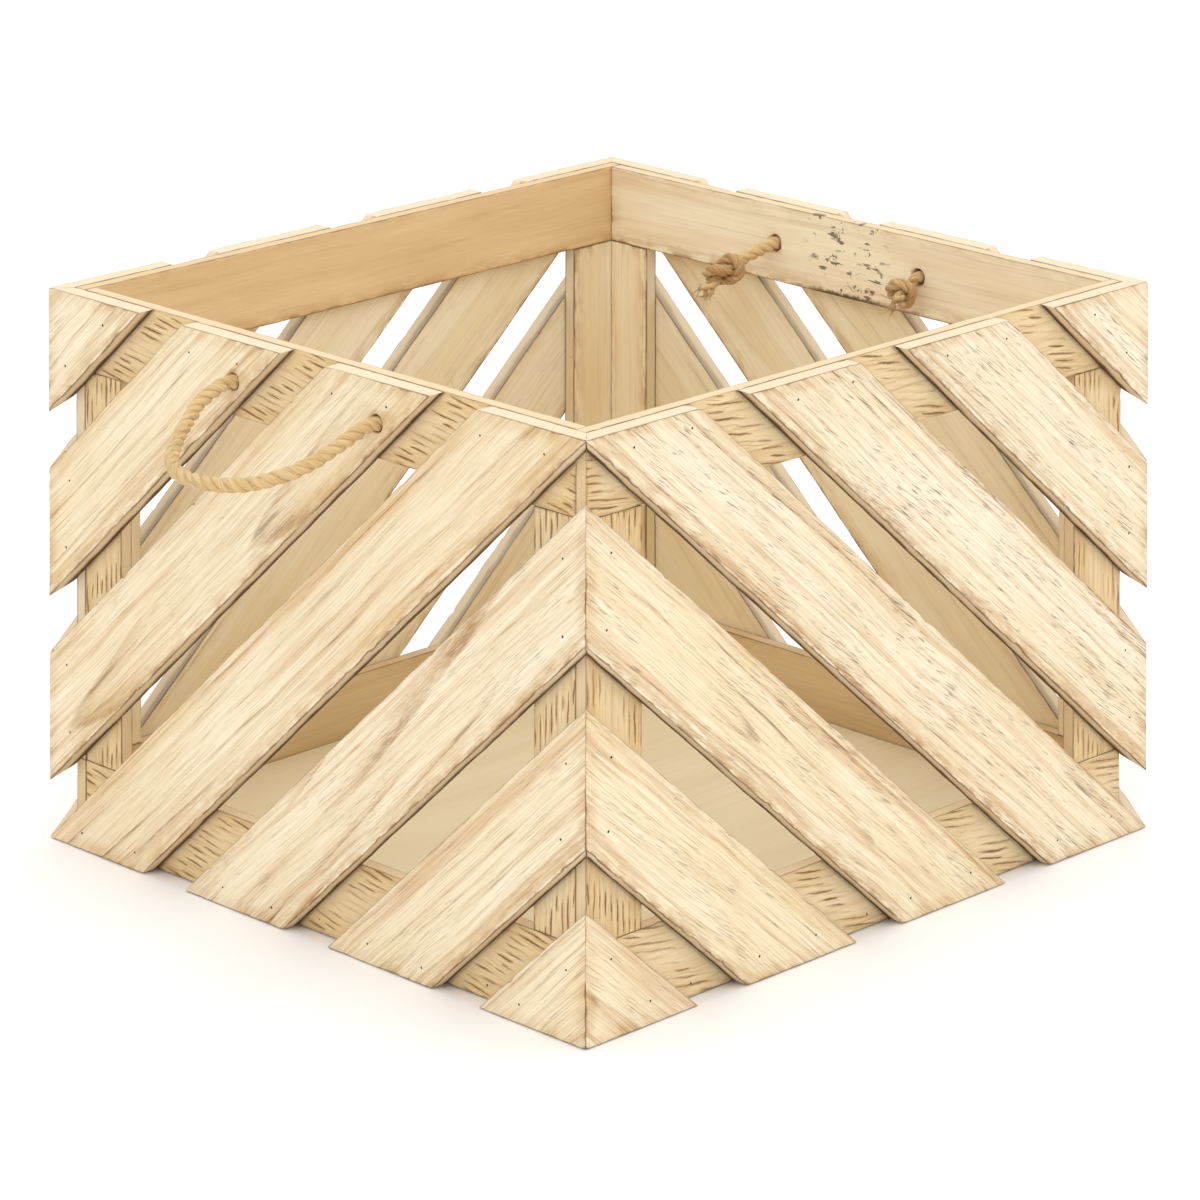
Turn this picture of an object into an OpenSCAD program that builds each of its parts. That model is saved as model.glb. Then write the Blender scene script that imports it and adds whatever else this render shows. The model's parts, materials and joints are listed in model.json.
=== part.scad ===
// Square fruit crate with chevron slat walls and two rope handles.
// Each wall is a flat frame of two rails and two stiles, faced on the outside
// with seven diagonal slats. A sheet floor sits between the bottom rails.
// A rope runs through two holes in each side wall and is knotted inside.
// Origin at the centre of the base, +Z up, front wall facing -Y.

/* [Crate] */
// Outside width of the crate along X
crate_w = 420; // [380:5:460]
// Outside depth of the crate along Y
crate_d = 420; // [380:5:460]
// Height of the crate from base to rim
crate_h = 300; // [270:5:330]

/* [Slats] */
// Width of a slat measured square to its edges
slat_w = 53; // [48:1:58]
// Open gap between two neighbouring slats
slat_gap = 22.5; // [20:0.5:25]
// Thickness of a slat
slat_t = 10.4; // [9:0.2:12]

/* [Wall frames] */
// Thickness of the rails and stiles behind the slats
frame_t = 8; // [7:0.5:10]
// Height of the top and bottom rails
rail_h = 44; // [38:1:50]
// Width of the corner stiles, measured from the inner face of the corner slats
stile_w = 38; // [32:1:44]

/* [Floor] */
// Thickness of the floor sheet
floor_t = 6; // [4:0.5:8]
// Height of the underside of the floor above the base
floor_z = 4; // [2:0.5:8]
// Gap left between the floor sheet and each bottom rail
floor_fit = 0.3; // [0.2:0.1:1]

/* [Brads] */
// Diameter of the brads
brad_d = 1.4; // [1.2:0.1:2]
// Distance of the brads from the vertical corner edges
brad_side = 16; // [14:0.5:20]
// Distance of the brads from the base and the rim
brad_rim = 11; // [9:0.5:18]
// Largest wander of a brad from its regular place
brad_wander = 2; // [0:0.25:2]

/* [Rope handles] */
// Diameter of the rope
rope_d = 8; // [7:0.5:9]
// Distance between the two rope holes of a wall
hole_spacing = 112; // [100:1:124]
// Diameter of the rope holes
hole_d = 9.6; // [9.6:0.2:11]
// Straight length of rope between the line the loop swings about and its bend
loop_side = 15; // [10:1:25]
// Angle at which the loop stands below level when at rest
loop_droop = 20; // [0:1:35]
// Distance from the wall face to the line the loop swings about
loop_offset = 7; // [7:0.5:12]
// Slack between rail and knot on the two ends of the left handle
left_slack = [10, 14]; // [2:1:30]
// Slack between rail and knot on the two ends of the right handle
right_slack = [3, 27]; // [2:1:30]

/* [Hidden] */
$fn = 48;
NODES = [
  "floor_panel",
  "rail_top_front", "rail_top_right", "rail_top_back", "rail_top_left",
  "rail_bottom_front", "rail_bottom_right", "rail_bottom_back", "rail_bottom_left",
  "stile_front_left", "stile_front_right", "stile_right_left", "stile_right_right",
  "stile_back_left", "stile_back_right", "stile_left_left", "stile_left_right",
  "slat_front_1", "slat_front_2", "slat_front_3", "slat_front_4", "slat_front_5", "slat_front_6", "slat_front_7",
  "slat_right_1", "slat_right_2", "slat_right_3", "slat_right_4", "slat_right_5", "slat_right_6", "slat_right_7",
  "slat_back_1", "slat_back_2", "slat_back_3", "slat_back_4", "slat_back_5", "slat_back_6", "slat_back_7",
  "slat_left_1", "slat_left_2", "slat_left_3", "slat_left_4", "slat_left_5", "slat_left_6", "slat_left_7",
  "brads_front", "brads_right", "brads_back", "brads_left", "floor_brads",
  "rope_end_left_a", "rope_end_left_b", "rope_loop_left",
  "rope_end_right_a", "rope_end_right_b", "rope_loop_right"
];
node = "all";

frame_color = "#ddbe8c";
brad_color = "#4a4038";
rope_color = "#d3ac66";

// Walls are numbered round the crate, each a quarter turn on from the last
FRONT = 0;
RIGHT = 1;
BACK = 2;
LEFT = 3;
wall_t = slat_t + frame_t;
cut_over = 1; // how far cutting shapes pass beyond the faces they cut

function is_side(wall) = wall % 2 == 1;
function wall_len(wall) = is_side(wall) ? crate_d : crate_w;
function wall_dist(wall) = is_side(wall) ? crate_w / 2 : crate_d / 2;

// Wall frame of reference: X along the wall from its left end as seen from
// outside, Y inwards from the outer face, Z up.
module at_wall(wall) {
  rotate([0, 0, 90 * wall])
    translate([-wall_len(wall) / 2, -wall_dist(wall), 0]) children();
}

// The same, with X always running from the low end of the slats
module at_slats(wall) {
  at_wall(wall)
    if (is_side(wall)) children();
    else translate([wall_len(wall), 0, 0]) mirror([1, 0, 0]) children();
}

// Cylinder along the inward direction, from depth y0 to depth y1
module through(x, z, y0, y1, radius) {
  translate([x, y0, z]) rotate([-90, 0, 0]) cylinder(r = radius, h = y1 - y0);
}

// ---- Rope holes ----

rope_z = crate_h - rail_h / 2; // middle of the top rail
holed_slats = [2, 3]; // slats of a side wall that the holes pass through

// Places of the left and right hole along the wall
function hole_x(wall) = [for (side = [-1, 1]) wall_len(wall) / 2 + side * hole_spacing / 2];

module rope_holes(wall) {
  for (x = hole_x(wall)) through(x, rope_z, -cut_over, wall_t + cut_over, hole_d / 2);
}

// ---- Slats ----

slats = 7;
corner_nib = 0.8; // height of the square edge left on the middle slat's ends
slat_overrun = 20; // how far a slat's outline runs past the wall before trimming

// Rise over run of the slats, such that the middle slat runs from corner to
// corner: its upper edge leaves the low corner and its lower edge meets the
// top of the opposite corner, each a nib short of the point.
function slope(wall) =
  let (run = wall_len(wall), rise = crate_h - 2 * corner_nib)
  (rise * run + slat_w * sqrt(rise * rise + run * run - slat_w * slat_w))
    / (run * run - slat_w * slat_w);

// Vertical length per unit of length square to the slat edges
function steepness(wall) = sqrt(1 + slope(wall) * slope(wall));
function slat_upright(wall) = slat_w * steepness(wall);
function slat_pitch(wall) = (slat_w + slat_gap) * steepness(wall);

// Height at x of a line along slat i: share 0 is its lower edge, 1 its upper.
// Slats are counted from the top down.
function slat_line(wall, i, share, x) =
  ((slats + 1) / 2 - i) * slat_pitch(wall) + (share - 1) * slat_upright(wall)
    + corner_nib + slope(wall) * x;

// One diagonal slat, trimmed flush at base and rim and mitred at the corners
module slat(wall, i) {
  length = wall_len(wall);
  start = -slat_overrun;
  end = length + slat_overrun;
  color("#ead9b8") difference() {
    at_slats(wall) intersection() {
      linear_extrude(crate_h)
        polygon([[0, 0], [length, 0], [length - slat_t, slat_t], [slat_t, slat_t]]);
      translate([0, slat_t + cut_over, 0]) rotate([90, 0, 0])
        linear_extrude(slat_t + 2 * cut_over)
          polygon([
            [start, slat_line(wall, i, 0, start)], [end, slat_line(wall, i, 0, end)],
            [end, slat_line(wall, i, 1, end)], [start, slat_line(wall, i, 1, start)]
          ]);
    }
    if (is_side(wall) && (i == holed_slats[0] || i == holed_slats[1]))
      at_wall(wall) rope_holes(wall);
  }
}

// ---- Wall frames and floor ----

// Front and back frames run through to the slats of the side walls, and the
// side frames fit between them.
function frame_start(wall) = is_side(wall) ? wall_t : slat_t;

module rail(wall, z) {
  start = frame_start(wall);
  color(frame_color) difference() {
    at_wall(wall) translate([start, slat_t, z])
      cube([wall_len(wall) - 2 * start, frame_t, rail_h]);
    if (is_side(wall) && z > crate_h / 2) at_wall(wall) rope_holes(wall);
  }
}

module top_rail(wall) rail(wall, crate_h - rail_h);
module bottom_rail(wall) rail(wall, 0);

// Corner stile between the rails, at the wall's left or right end
module stile(wall, right) {
  start = frame_start(wall);
  width = slat_t + stile_w - start;
  x = right ? wall_len(wall) - start - width : start;
  color(frame_color)
    at_wall(wall) translate([x, slat_t, rail_h]) cube([width, frame_t, crate_h - 2 * rail_h]);
}

module floor_panel() {
  inset = 2 * (wall_t + floor_fit);
  width = crate_w - inset;
  depth = crate_d - inset;
  color("#c9b282") translate([-width / 2, -depth / 2, floor_z]) cube([width, depth, floor_t]);
}

// ---- Brads ----

brad_r = brad_d / 2;
brad_short = 1.5; // how far a slat brad stops short of the frame's inner face
brad_shares = [0.25, 0.78]; // places of the two brads across a slat's width
corner_drop = 38; // lower brad of a corner slat, below the rim
corner_run = 30; // step along the wall between the brads of a corner slat
floor_brad_shares = [1 / 6, 1 / 2, 5 / 6]; // places along the inside of a wall
floor_brad_reach = 12; // depth of a floor brad beyond the bottom rail

// Strays are sines of angles that step by [slat, wall, brad] number
wave_x = [97, 43, 151];
wave_z = [61, 83, 200];
wander_z = 0.35 * brad_wander;
brad_lift = brad_r + wander_z + 0.2; // shift that keeps crossing brads apart

// Brad on a line along a slat, at brad_side from the low corner edge, or
// further up the slat if that lies too near the base
function low_brad(wall, i, share) =
  let (x = brad_side, z = slat_line(wall, i, share, x))
  z >= brad_rim ? [x, z]
    : [(brad_rim - slat_line(wall, i, share, 0)) / slope(wall), brad_rim];

// The same at the high end, moved down the slat if too near the rim
function high_brad(wall, i, share) =
  let (x = wall_len(wall) - brad_side, z = slat_line(wall, i, share, x),
       top = crate_h - brad_rim)
  z <= top ? [x, z] : [(top - slat_line(wall, i, share, 0)) / slope(wall), top];

// Regular places [x, z] of the brads of slat i: two in each corner slat, and
// two at each end of the others. The last slat is the first turned half round.
corner_brads = [[brad_side, crate_h - corner_drop], [brad_side + corner_run, crate_h - brad_rim]];
function slat_brads(wall, i) =
  i == 1 ? corner_brads :
  i == slats ? [for (place = corner_brads) [wall_len(wall) - place[0], crate_h - place[1]]] :
  [
    for (share = brad_shares) low_brad(wall, i, share),
    for (share = brad_shares) high_brad(wall, i, share)
  ];

// The brads are put in by hand, so each strays a little along its own wave.
// Those of the front and back sit higher than those of the sides, which
// keeps them apart where two walls meet.
function stray(wall, i, n) = [
  brad_wander * sin([i, wall, n] * wave_x),
  wander_z * sin([i, wall, n] * wave_z) + (is_side(wall) ? -1 : 1) * brad_lift
];

module brads(wall) {
  color(brad_color) at_slats(wall)
    for (i = [1:slats]) {
      places = slat_brads(wall, i);
      for (n = [0:len(places) - 1]) {
        place = places[n] + stray(wall, i, n);
        through(place[0], place[1], 0, wall_t - brad_short, brad_r);
      }
    }
}

// Brads through each bottom rail into the edge of the floor
module floor_brads() {
  z = floor_z + floor_t / 2;
  color(brad_color) for (wall = [FRONT:LEFT]) at_wall(wall)
    for (share = floor_brad_shares)
      through(wall_t + share * (wall_len(wall) - 2 * wall_t), z,
        slat_t, wall_t + floor_brad_reach, brad_r);
}

// ---- Rope handles ----

rope_r = rope_d / 2;
loop_gap = 0.6; // how far the rope in the hole reaches short of the loop
knot_len = 18;
knot_r = 5.6; // centre line of the two rings of a knot
core_r = knot_r + 2;
tip_len = 10; // frayed tip beyond the knot
tip_flare = 1.5; // growth of the rope's radius at the tip

// Rope through one hole (0 left, 1 right, seen from outside), with its knot
// and short frayed tip inside the crate
module rope_end(wall, hole, slack) {
  x = hole_x(wall)[hole];
  knot_y = wall_t + slack + knot_len / 2;
  color(rope_color) at_wall(wall) union() {
    through(x, rope_z, -(loop_offset - rope_r - loop_gap), knot_y, rope_r);
    for (side = [-1, 1])
      translate([x, knot_y + side * (knot_len / 2 - rope_r), rope_z]) rotate([90, 0, 0])
        rotate_extrude() translate([knot_r, 0]) circle(r = rope_r);
    translate([x, knot_y, rope_z]) sphere(r = core_r);
    translate([x, knot_y, rope_z]) rotate([-90, 0, 0])
      cylinder(r1 = rope_r, r2 = rope_r + tip_flare, h = knot_len / 2 + tip_len);
  }
}

// Bail of rope outside the wall, from hole to hole
module rope_loop(wall) {
  bend_r = hole_spacing / 2;
  color(rope_color) at_wall(wall)
    translate([wall_len(wall) / 2, -loop_offset, rope_z]) rotate([loop_droop, 0, 0]) union() {
      for (side = [-1, 1]) {
        translate([side * bend_r, 0, 0]) sphere(r = rope_r);
        translate([side * bend_r, 0, 0]) rotate([90, 0, 0]) cylinder(r = rope_r, h = loop_side);
      }
      translate([0, -loop_side, 0]) rotate([0, 0, 180])
        rotate_extrude(angle = 180) translate([bend_r, 0]) circle(r = rope_r);
    }
}

// ---- Nodes ----

function on(name) = node == "all" || node == name;

if (on("floor_panel")) floor_panel();
if (on("rail_top_front")) top_rail(FRONT);
if (on("rail_top_right")) top_rail(RIGHT);
if (on("rail_top_back")) top_rail(BACK);
if (on("rail_top_left")) top_rail(LEFT);
if (on("rail_bottom_front")) bottom_rail(FRONT);
if (on("rail_bottom_right")) bottom_rail(RIGHT);
if (on("rail_bottom_back")) bottom_rail(BACK);
if (on("rail_bottom_left")) bottom_rail(LEFT);
if (on("stile_front_left")) stile(FRONT, false);
if (on("stile_front_right")) stile(FRONT, true);
if (on("stile_right_left")) stile(RIGHT, false);
if (on("stile_right_right")) stile(RIGHT, true);
if (on("stile_back_left")) stile(BACK, false);
if (on("stile_back_right")) stile(BACK, true);
if (on("stile_left_left")) stile(LEFT, false);
if (on("stile_left_right")) stile(LEFT, true);
if (on("slat_front_1")) slat(FRONT, 1);
if (on("slat_front_2")) slat(FRONT, 2);
if (on("slat_front_3")) slat(FRONT, 3);
if (on("slat_front_4")) slat(FRONT, 4);
if (on("slat_front_5")) slat(FRONT, 5);
if (on("slat_front_6")) slat(FRONT, 6);
if (on("slat_front_7")) slat(FRONT, 7);
if (on("slat_right_1")) slat(RIGHT, 1);
if (on("slat_right_2")) slat(RIGHT, 2);
if (on("slat_right_3")) slat(RIGHT, 3);
if (on("slat_right_4")) slat(RIGHT, 4);
if (on("slat_right_5")) slat(RIGHT, 5);
if (on("slat_right_6")) slat(RIGHT, 6);
if (on("slat_right_7")) slat(RIGHT, 7);
if (on("slat_back_1")) slat(BACK, 1);
if (on("slat_back_2")) slat(BACK, 2);
if (on("slat_back_3")) slat(BACK, 3);
if (on("slat_back_4")) slat(BACK, 4);
if (on("slat_back_5")) slat(BACK, 5);
if (on("slat_back_6")) slat(BACK, 6);
if (on("slat_back_7")) slat(BACK, 7);
if (on("slat_left_1")) slat(LEFT, 1);
if (on("slat_left_2")) slat(LEFT, 2);
if (on("slat_left_3")) slat(LEFT, 3);
if (on("slat_left_4")) slat(LEFT, 4);
if (on("slat_left_5")) slat(LEFT, 5);
if (on("slat_left_6")) slat(LEFT, 6);
if (on("slat_left_7")) slat(LEFT, 7);
if (on("brads_front")) brads(FRONT);
if (on("brads_right")) brads(RIGHT);
if (on("brads_back")) brads(BACK);
if (on("brads_left")) brads(LEFT);
if (on("floor_brads")) floor_brads();
if (on("rope_end_left_a")) rope_end(LEFT, 0, left_slack[0]);
if (on("rope_end_left_b")) rope_end(LEFT, 1, left_slack[1]);
if (on("rope_loop_left")) rope_loop(LEFT);
if (on("rope_end_right_a")) rope_end(RIGHT, 0, right_slack[0]);
if (on("rope_end_right_b")) rope_end(RIGHT, 1, right_slack[1]);
if (on("rope_loop_right")) rope_loop(RIGHT);
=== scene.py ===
"""Looks of the slatted crate: boards, ropes, brads, floor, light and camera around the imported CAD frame."""

import json
import math

import bpy
import numpy as np
from mathutils import Matrix, Vector
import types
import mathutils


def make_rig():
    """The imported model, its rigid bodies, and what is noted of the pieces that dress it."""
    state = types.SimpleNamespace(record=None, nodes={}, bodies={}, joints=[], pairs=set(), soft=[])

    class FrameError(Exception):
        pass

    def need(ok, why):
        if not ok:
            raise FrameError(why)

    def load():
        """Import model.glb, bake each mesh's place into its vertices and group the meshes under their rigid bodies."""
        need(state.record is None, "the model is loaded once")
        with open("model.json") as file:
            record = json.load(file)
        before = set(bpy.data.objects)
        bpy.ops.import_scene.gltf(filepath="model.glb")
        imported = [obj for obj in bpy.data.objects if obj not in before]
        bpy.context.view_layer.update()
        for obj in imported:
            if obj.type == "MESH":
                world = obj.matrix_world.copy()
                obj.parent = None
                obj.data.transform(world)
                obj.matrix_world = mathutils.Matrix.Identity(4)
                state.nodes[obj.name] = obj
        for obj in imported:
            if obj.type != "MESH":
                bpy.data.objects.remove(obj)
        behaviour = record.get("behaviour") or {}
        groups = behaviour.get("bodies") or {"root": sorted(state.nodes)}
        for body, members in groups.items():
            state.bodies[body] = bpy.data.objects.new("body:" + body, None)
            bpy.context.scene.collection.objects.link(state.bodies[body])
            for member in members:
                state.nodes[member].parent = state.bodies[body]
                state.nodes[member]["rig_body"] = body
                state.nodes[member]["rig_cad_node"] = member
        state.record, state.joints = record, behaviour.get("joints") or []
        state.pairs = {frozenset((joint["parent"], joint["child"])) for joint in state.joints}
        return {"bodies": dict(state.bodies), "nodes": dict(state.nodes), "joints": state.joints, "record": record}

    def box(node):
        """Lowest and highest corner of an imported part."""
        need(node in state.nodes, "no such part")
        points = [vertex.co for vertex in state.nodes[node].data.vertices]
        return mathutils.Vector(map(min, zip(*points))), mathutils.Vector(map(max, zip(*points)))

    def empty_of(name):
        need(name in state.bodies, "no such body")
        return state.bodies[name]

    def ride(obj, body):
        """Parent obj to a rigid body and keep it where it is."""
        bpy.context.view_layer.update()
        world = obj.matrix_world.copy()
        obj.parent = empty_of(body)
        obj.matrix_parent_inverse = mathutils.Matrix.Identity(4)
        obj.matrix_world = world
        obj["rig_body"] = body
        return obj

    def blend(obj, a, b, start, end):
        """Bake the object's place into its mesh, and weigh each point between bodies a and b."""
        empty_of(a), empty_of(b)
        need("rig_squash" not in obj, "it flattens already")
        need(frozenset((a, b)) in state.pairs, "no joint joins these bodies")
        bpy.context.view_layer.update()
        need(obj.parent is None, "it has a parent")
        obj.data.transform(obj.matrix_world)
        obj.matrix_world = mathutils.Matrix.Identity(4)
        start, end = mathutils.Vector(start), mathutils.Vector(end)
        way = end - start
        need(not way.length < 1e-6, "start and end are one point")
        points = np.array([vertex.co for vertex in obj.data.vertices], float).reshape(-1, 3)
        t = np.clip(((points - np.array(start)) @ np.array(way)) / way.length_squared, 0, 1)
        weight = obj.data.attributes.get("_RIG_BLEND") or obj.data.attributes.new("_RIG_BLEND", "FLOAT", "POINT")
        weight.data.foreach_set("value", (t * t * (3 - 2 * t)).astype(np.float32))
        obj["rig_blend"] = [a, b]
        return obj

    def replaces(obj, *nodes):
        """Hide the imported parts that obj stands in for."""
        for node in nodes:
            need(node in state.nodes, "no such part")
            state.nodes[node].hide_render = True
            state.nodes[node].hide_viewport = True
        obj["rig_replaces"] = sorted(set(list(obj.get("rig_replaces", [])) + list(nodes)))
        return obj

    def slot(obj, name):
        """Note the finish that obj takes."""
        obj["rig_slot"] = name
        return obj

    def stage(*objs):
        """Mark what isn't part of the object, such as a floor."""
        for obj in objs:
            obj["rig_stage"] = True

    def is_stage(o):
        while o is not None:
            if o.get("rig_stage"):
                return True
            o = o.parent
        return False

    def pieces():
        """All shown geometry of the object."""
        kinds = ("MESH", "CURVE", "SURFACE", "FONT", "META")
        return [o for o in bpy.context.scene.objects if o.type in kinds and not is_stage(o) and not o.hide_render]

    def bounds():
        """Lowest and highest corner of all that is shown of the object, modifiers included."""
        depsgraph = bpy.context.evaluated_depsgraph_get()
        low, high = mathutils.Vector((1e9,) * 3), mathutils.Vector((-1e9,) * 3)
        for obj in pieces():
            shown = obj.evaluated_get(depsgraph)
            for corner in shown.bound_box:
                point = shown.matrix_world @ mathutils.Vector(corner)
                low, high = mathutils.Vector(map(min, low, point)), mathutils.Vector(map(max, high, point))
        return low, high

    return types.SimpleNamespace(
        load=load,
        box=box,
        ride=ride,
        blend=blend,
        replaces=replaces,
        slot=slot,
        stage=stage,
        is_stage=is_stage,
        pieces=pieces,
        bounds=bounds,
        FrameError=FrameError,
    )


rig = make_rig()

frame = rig.load()
CAD_LO, CAD_HI = [Vector(v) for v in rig.bounds()]
MM = 0.001
WALLS = ["front", "right", "back", "left"]

# ---------------------------------------------------------------- sizes, read from the CAD nodes


def node_box(name):
    lo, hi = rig.box(name)
    return np.array(lo) / MM, np.array(hi) / MM


_lo, _hi = node_box("slat_front_4")
CRATE_W, CRATE_H = _hi[0] - _lo[0], _hi[2] - _lo[2]
SLAT_T = _hi[1] - _lo[1]
_lo, _hi = node_box("slat_left_4")
CRATE_D = _hi[1] - _lo[1]
_lo, _hi = node_box("rail_top_front")
FRAME_T, RAIL_H = _hi[1] - _lo[1], _hi[2] - _lo[2]
RIM_T = SLAT_T + FRAME_T
_lo, _hi = node_box("stile_front_left")
STILE_W = _hi[0] - _lo[0]


def slat_edges(k):
    """Slope, upright thickness and pitch of the slats of wall k, from the lines of its third and fourth slat."""
    a = wall_len(k)
    lows = {}
    for i in (3, 4, 5):
        ob = frame["nodes"][f"slat_{WALLS[k]}_{i}"]
        co = np.array([v.co for v in ob.data.vertices]) / MM
        u, n, z = to_wall(k, co)
        lows[i] = (u[n < 0.05], z[n < 0.05])
    u, z = lows[5]
    base = u[z < 0.05]
    # slat 5 stands on the base between two points: its upper edge leaves at the first and its lower edge at the last
    u4, z4 = lows[4]
    high = z4[u4 > a - 0.05].min()
    # the lower edge of slat 4 meets the far corner edge at `high`; find where it leaves the base
    start = u4[z4 < 0.05].max()
    slope = high / (a - start)
    ups = u4[z4 < 0.05].min()
    nib = z4[u4 < 0.05].max()
    v = slope * (start - ups) + nib
    z0 = -slope * start
    start5 = base.max()
    pitch = slope * (start5 - start)
    return slope, v, pitch, z0


def wall_len(k):
    return CRATE_W if k % 2 == 0 else CRATE_D


def wall_dist(k):
    return (CRATE_D if k % 2 == 0 else CRATE_W) / 2


def to_wall(k, co):
    """World points to (u, n, z): u from the low end of the slats, n inwards from the outer face."""
    a = -math.pi / 2 * k
    x = co[:, 0] * math.cos(a) - co[:, 1] * math.sin(a)
    y = co[:, 0] * math.sin(a) + co[:, 1] * math.cos(a)
    x, y = x + wall_len(k) / 2, y + wall_dist(k)
    if k % 2 == 0:
        x = wall_len(k) - x
    return x, y, co[:, 2]


def from_wall(k, u, n, z):
    """(u, n, z) in millimetres to world points in metres."""
    u, n, z = np.broadcast_arrays(np.asarray(u, float), np.asarray(n, float), np.asarray(z, float))
    x = wall_len(k) - u if k % 2 == 0 else u
    x, y = x - wall_len(k) / 2, n - wall_dist(k)
    a = math.pi / 2 * k
    return np.stack([x * math.cos(a) - y * math.sin(a), x * math.sin(a) + y * math.cos(a), z], -1) * MM


EDGES = [slat_edges(k) for k in range(4)]

# ---------------------------------------------------------------- smooth repeatable noise on arrays


def hash01(*xs):
    h = np.zeros_like(np.asarray(xs[0], float))
    for i, x in enumerate(xs):
        h = h + np.asarray(x, float) * (12.9898 + 65.1327 * i)
    return np.modf(np.abs(np.sin(h) * 43758.5453))[0]


def vnoise(x, y, seed):
    """Value noise from -1 to 1 on arrays."""
    x, y = np.asarray(x, float) + 1000, np.asarray(y, float) + 1000
    xi, yi = np.floor(x), np.floor(y)
    fx, fy = x - xi, y - yi
    fx, fy = fx * fx * (3 - 2 * fx), fy * fy * (3 - 2 * fy)
    a, b = hash01(xi, yi, seed), hash01(xi + 1, yi, seed)
    c, d = hash01(xi, yi + 1, seed), hash01(xi + 1, yi + 1, seed)
    return ((a * (1 - fx) + b * fx) * (1 - fy) + (c * (1 - fx) + d * fx) * fy) * 2 - 1


def seed_of(name):
    s = 7
    for c in name:
        s = (s * 31 + ord(c)) % 9973
    return s


# ---------------------------------------------------------------- boards


def clip(poly, nx, ny, c):
    """The part of a convex polygon where nx*x + ny*y <= c."""
    out = []
    for i, p in enumerate(poly):
        q = poly[(i + 1) % len(poly)]
        dp, dq = nx * p[0] + ny * p[1] - c, nx * q[0] + ny * q[1] - c
        if dp <= 0:
            out.append(p)
        if (dp < 0 < dq) or (dq < 0 < dp):
            f = dp / (dp - dq)
            out.append((p[0] + f * (q[0] - p[0]), p[1] + f * (q[1] - p[1])))
    return out


def span(poly, t):
    """Lowest and highest s of a convex polygon of (s, t) points at height t."""
    hits = []
    for i, p in enumerate(poly):
        q = poly[(i + 1) % len(poly)]
        if (p[1] - t) * (q[1] - t) <= 0 and abs(q[1] - p[1]) > 1e-9:
            hits.append(p[0] + (t - p[1]) / (q[1] - p[1]) * (q[0] - p[0]))
    return min(hits), max(hits)


def levels(length, step, fine):
    """Distances from 0 to length: fine steps at both ends and even steps of about `step` between."""
    near = [0.0] + [f for f in fine if f < length * 0.3]
    a, b = near[-1], length - near[-1]
    count = max(1, int(round((b - a) / step)))
    return np.array(near + [a + (b - a) * i / count for i in range(1, count)] + [length - f for f in reversed(near)])


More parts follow.
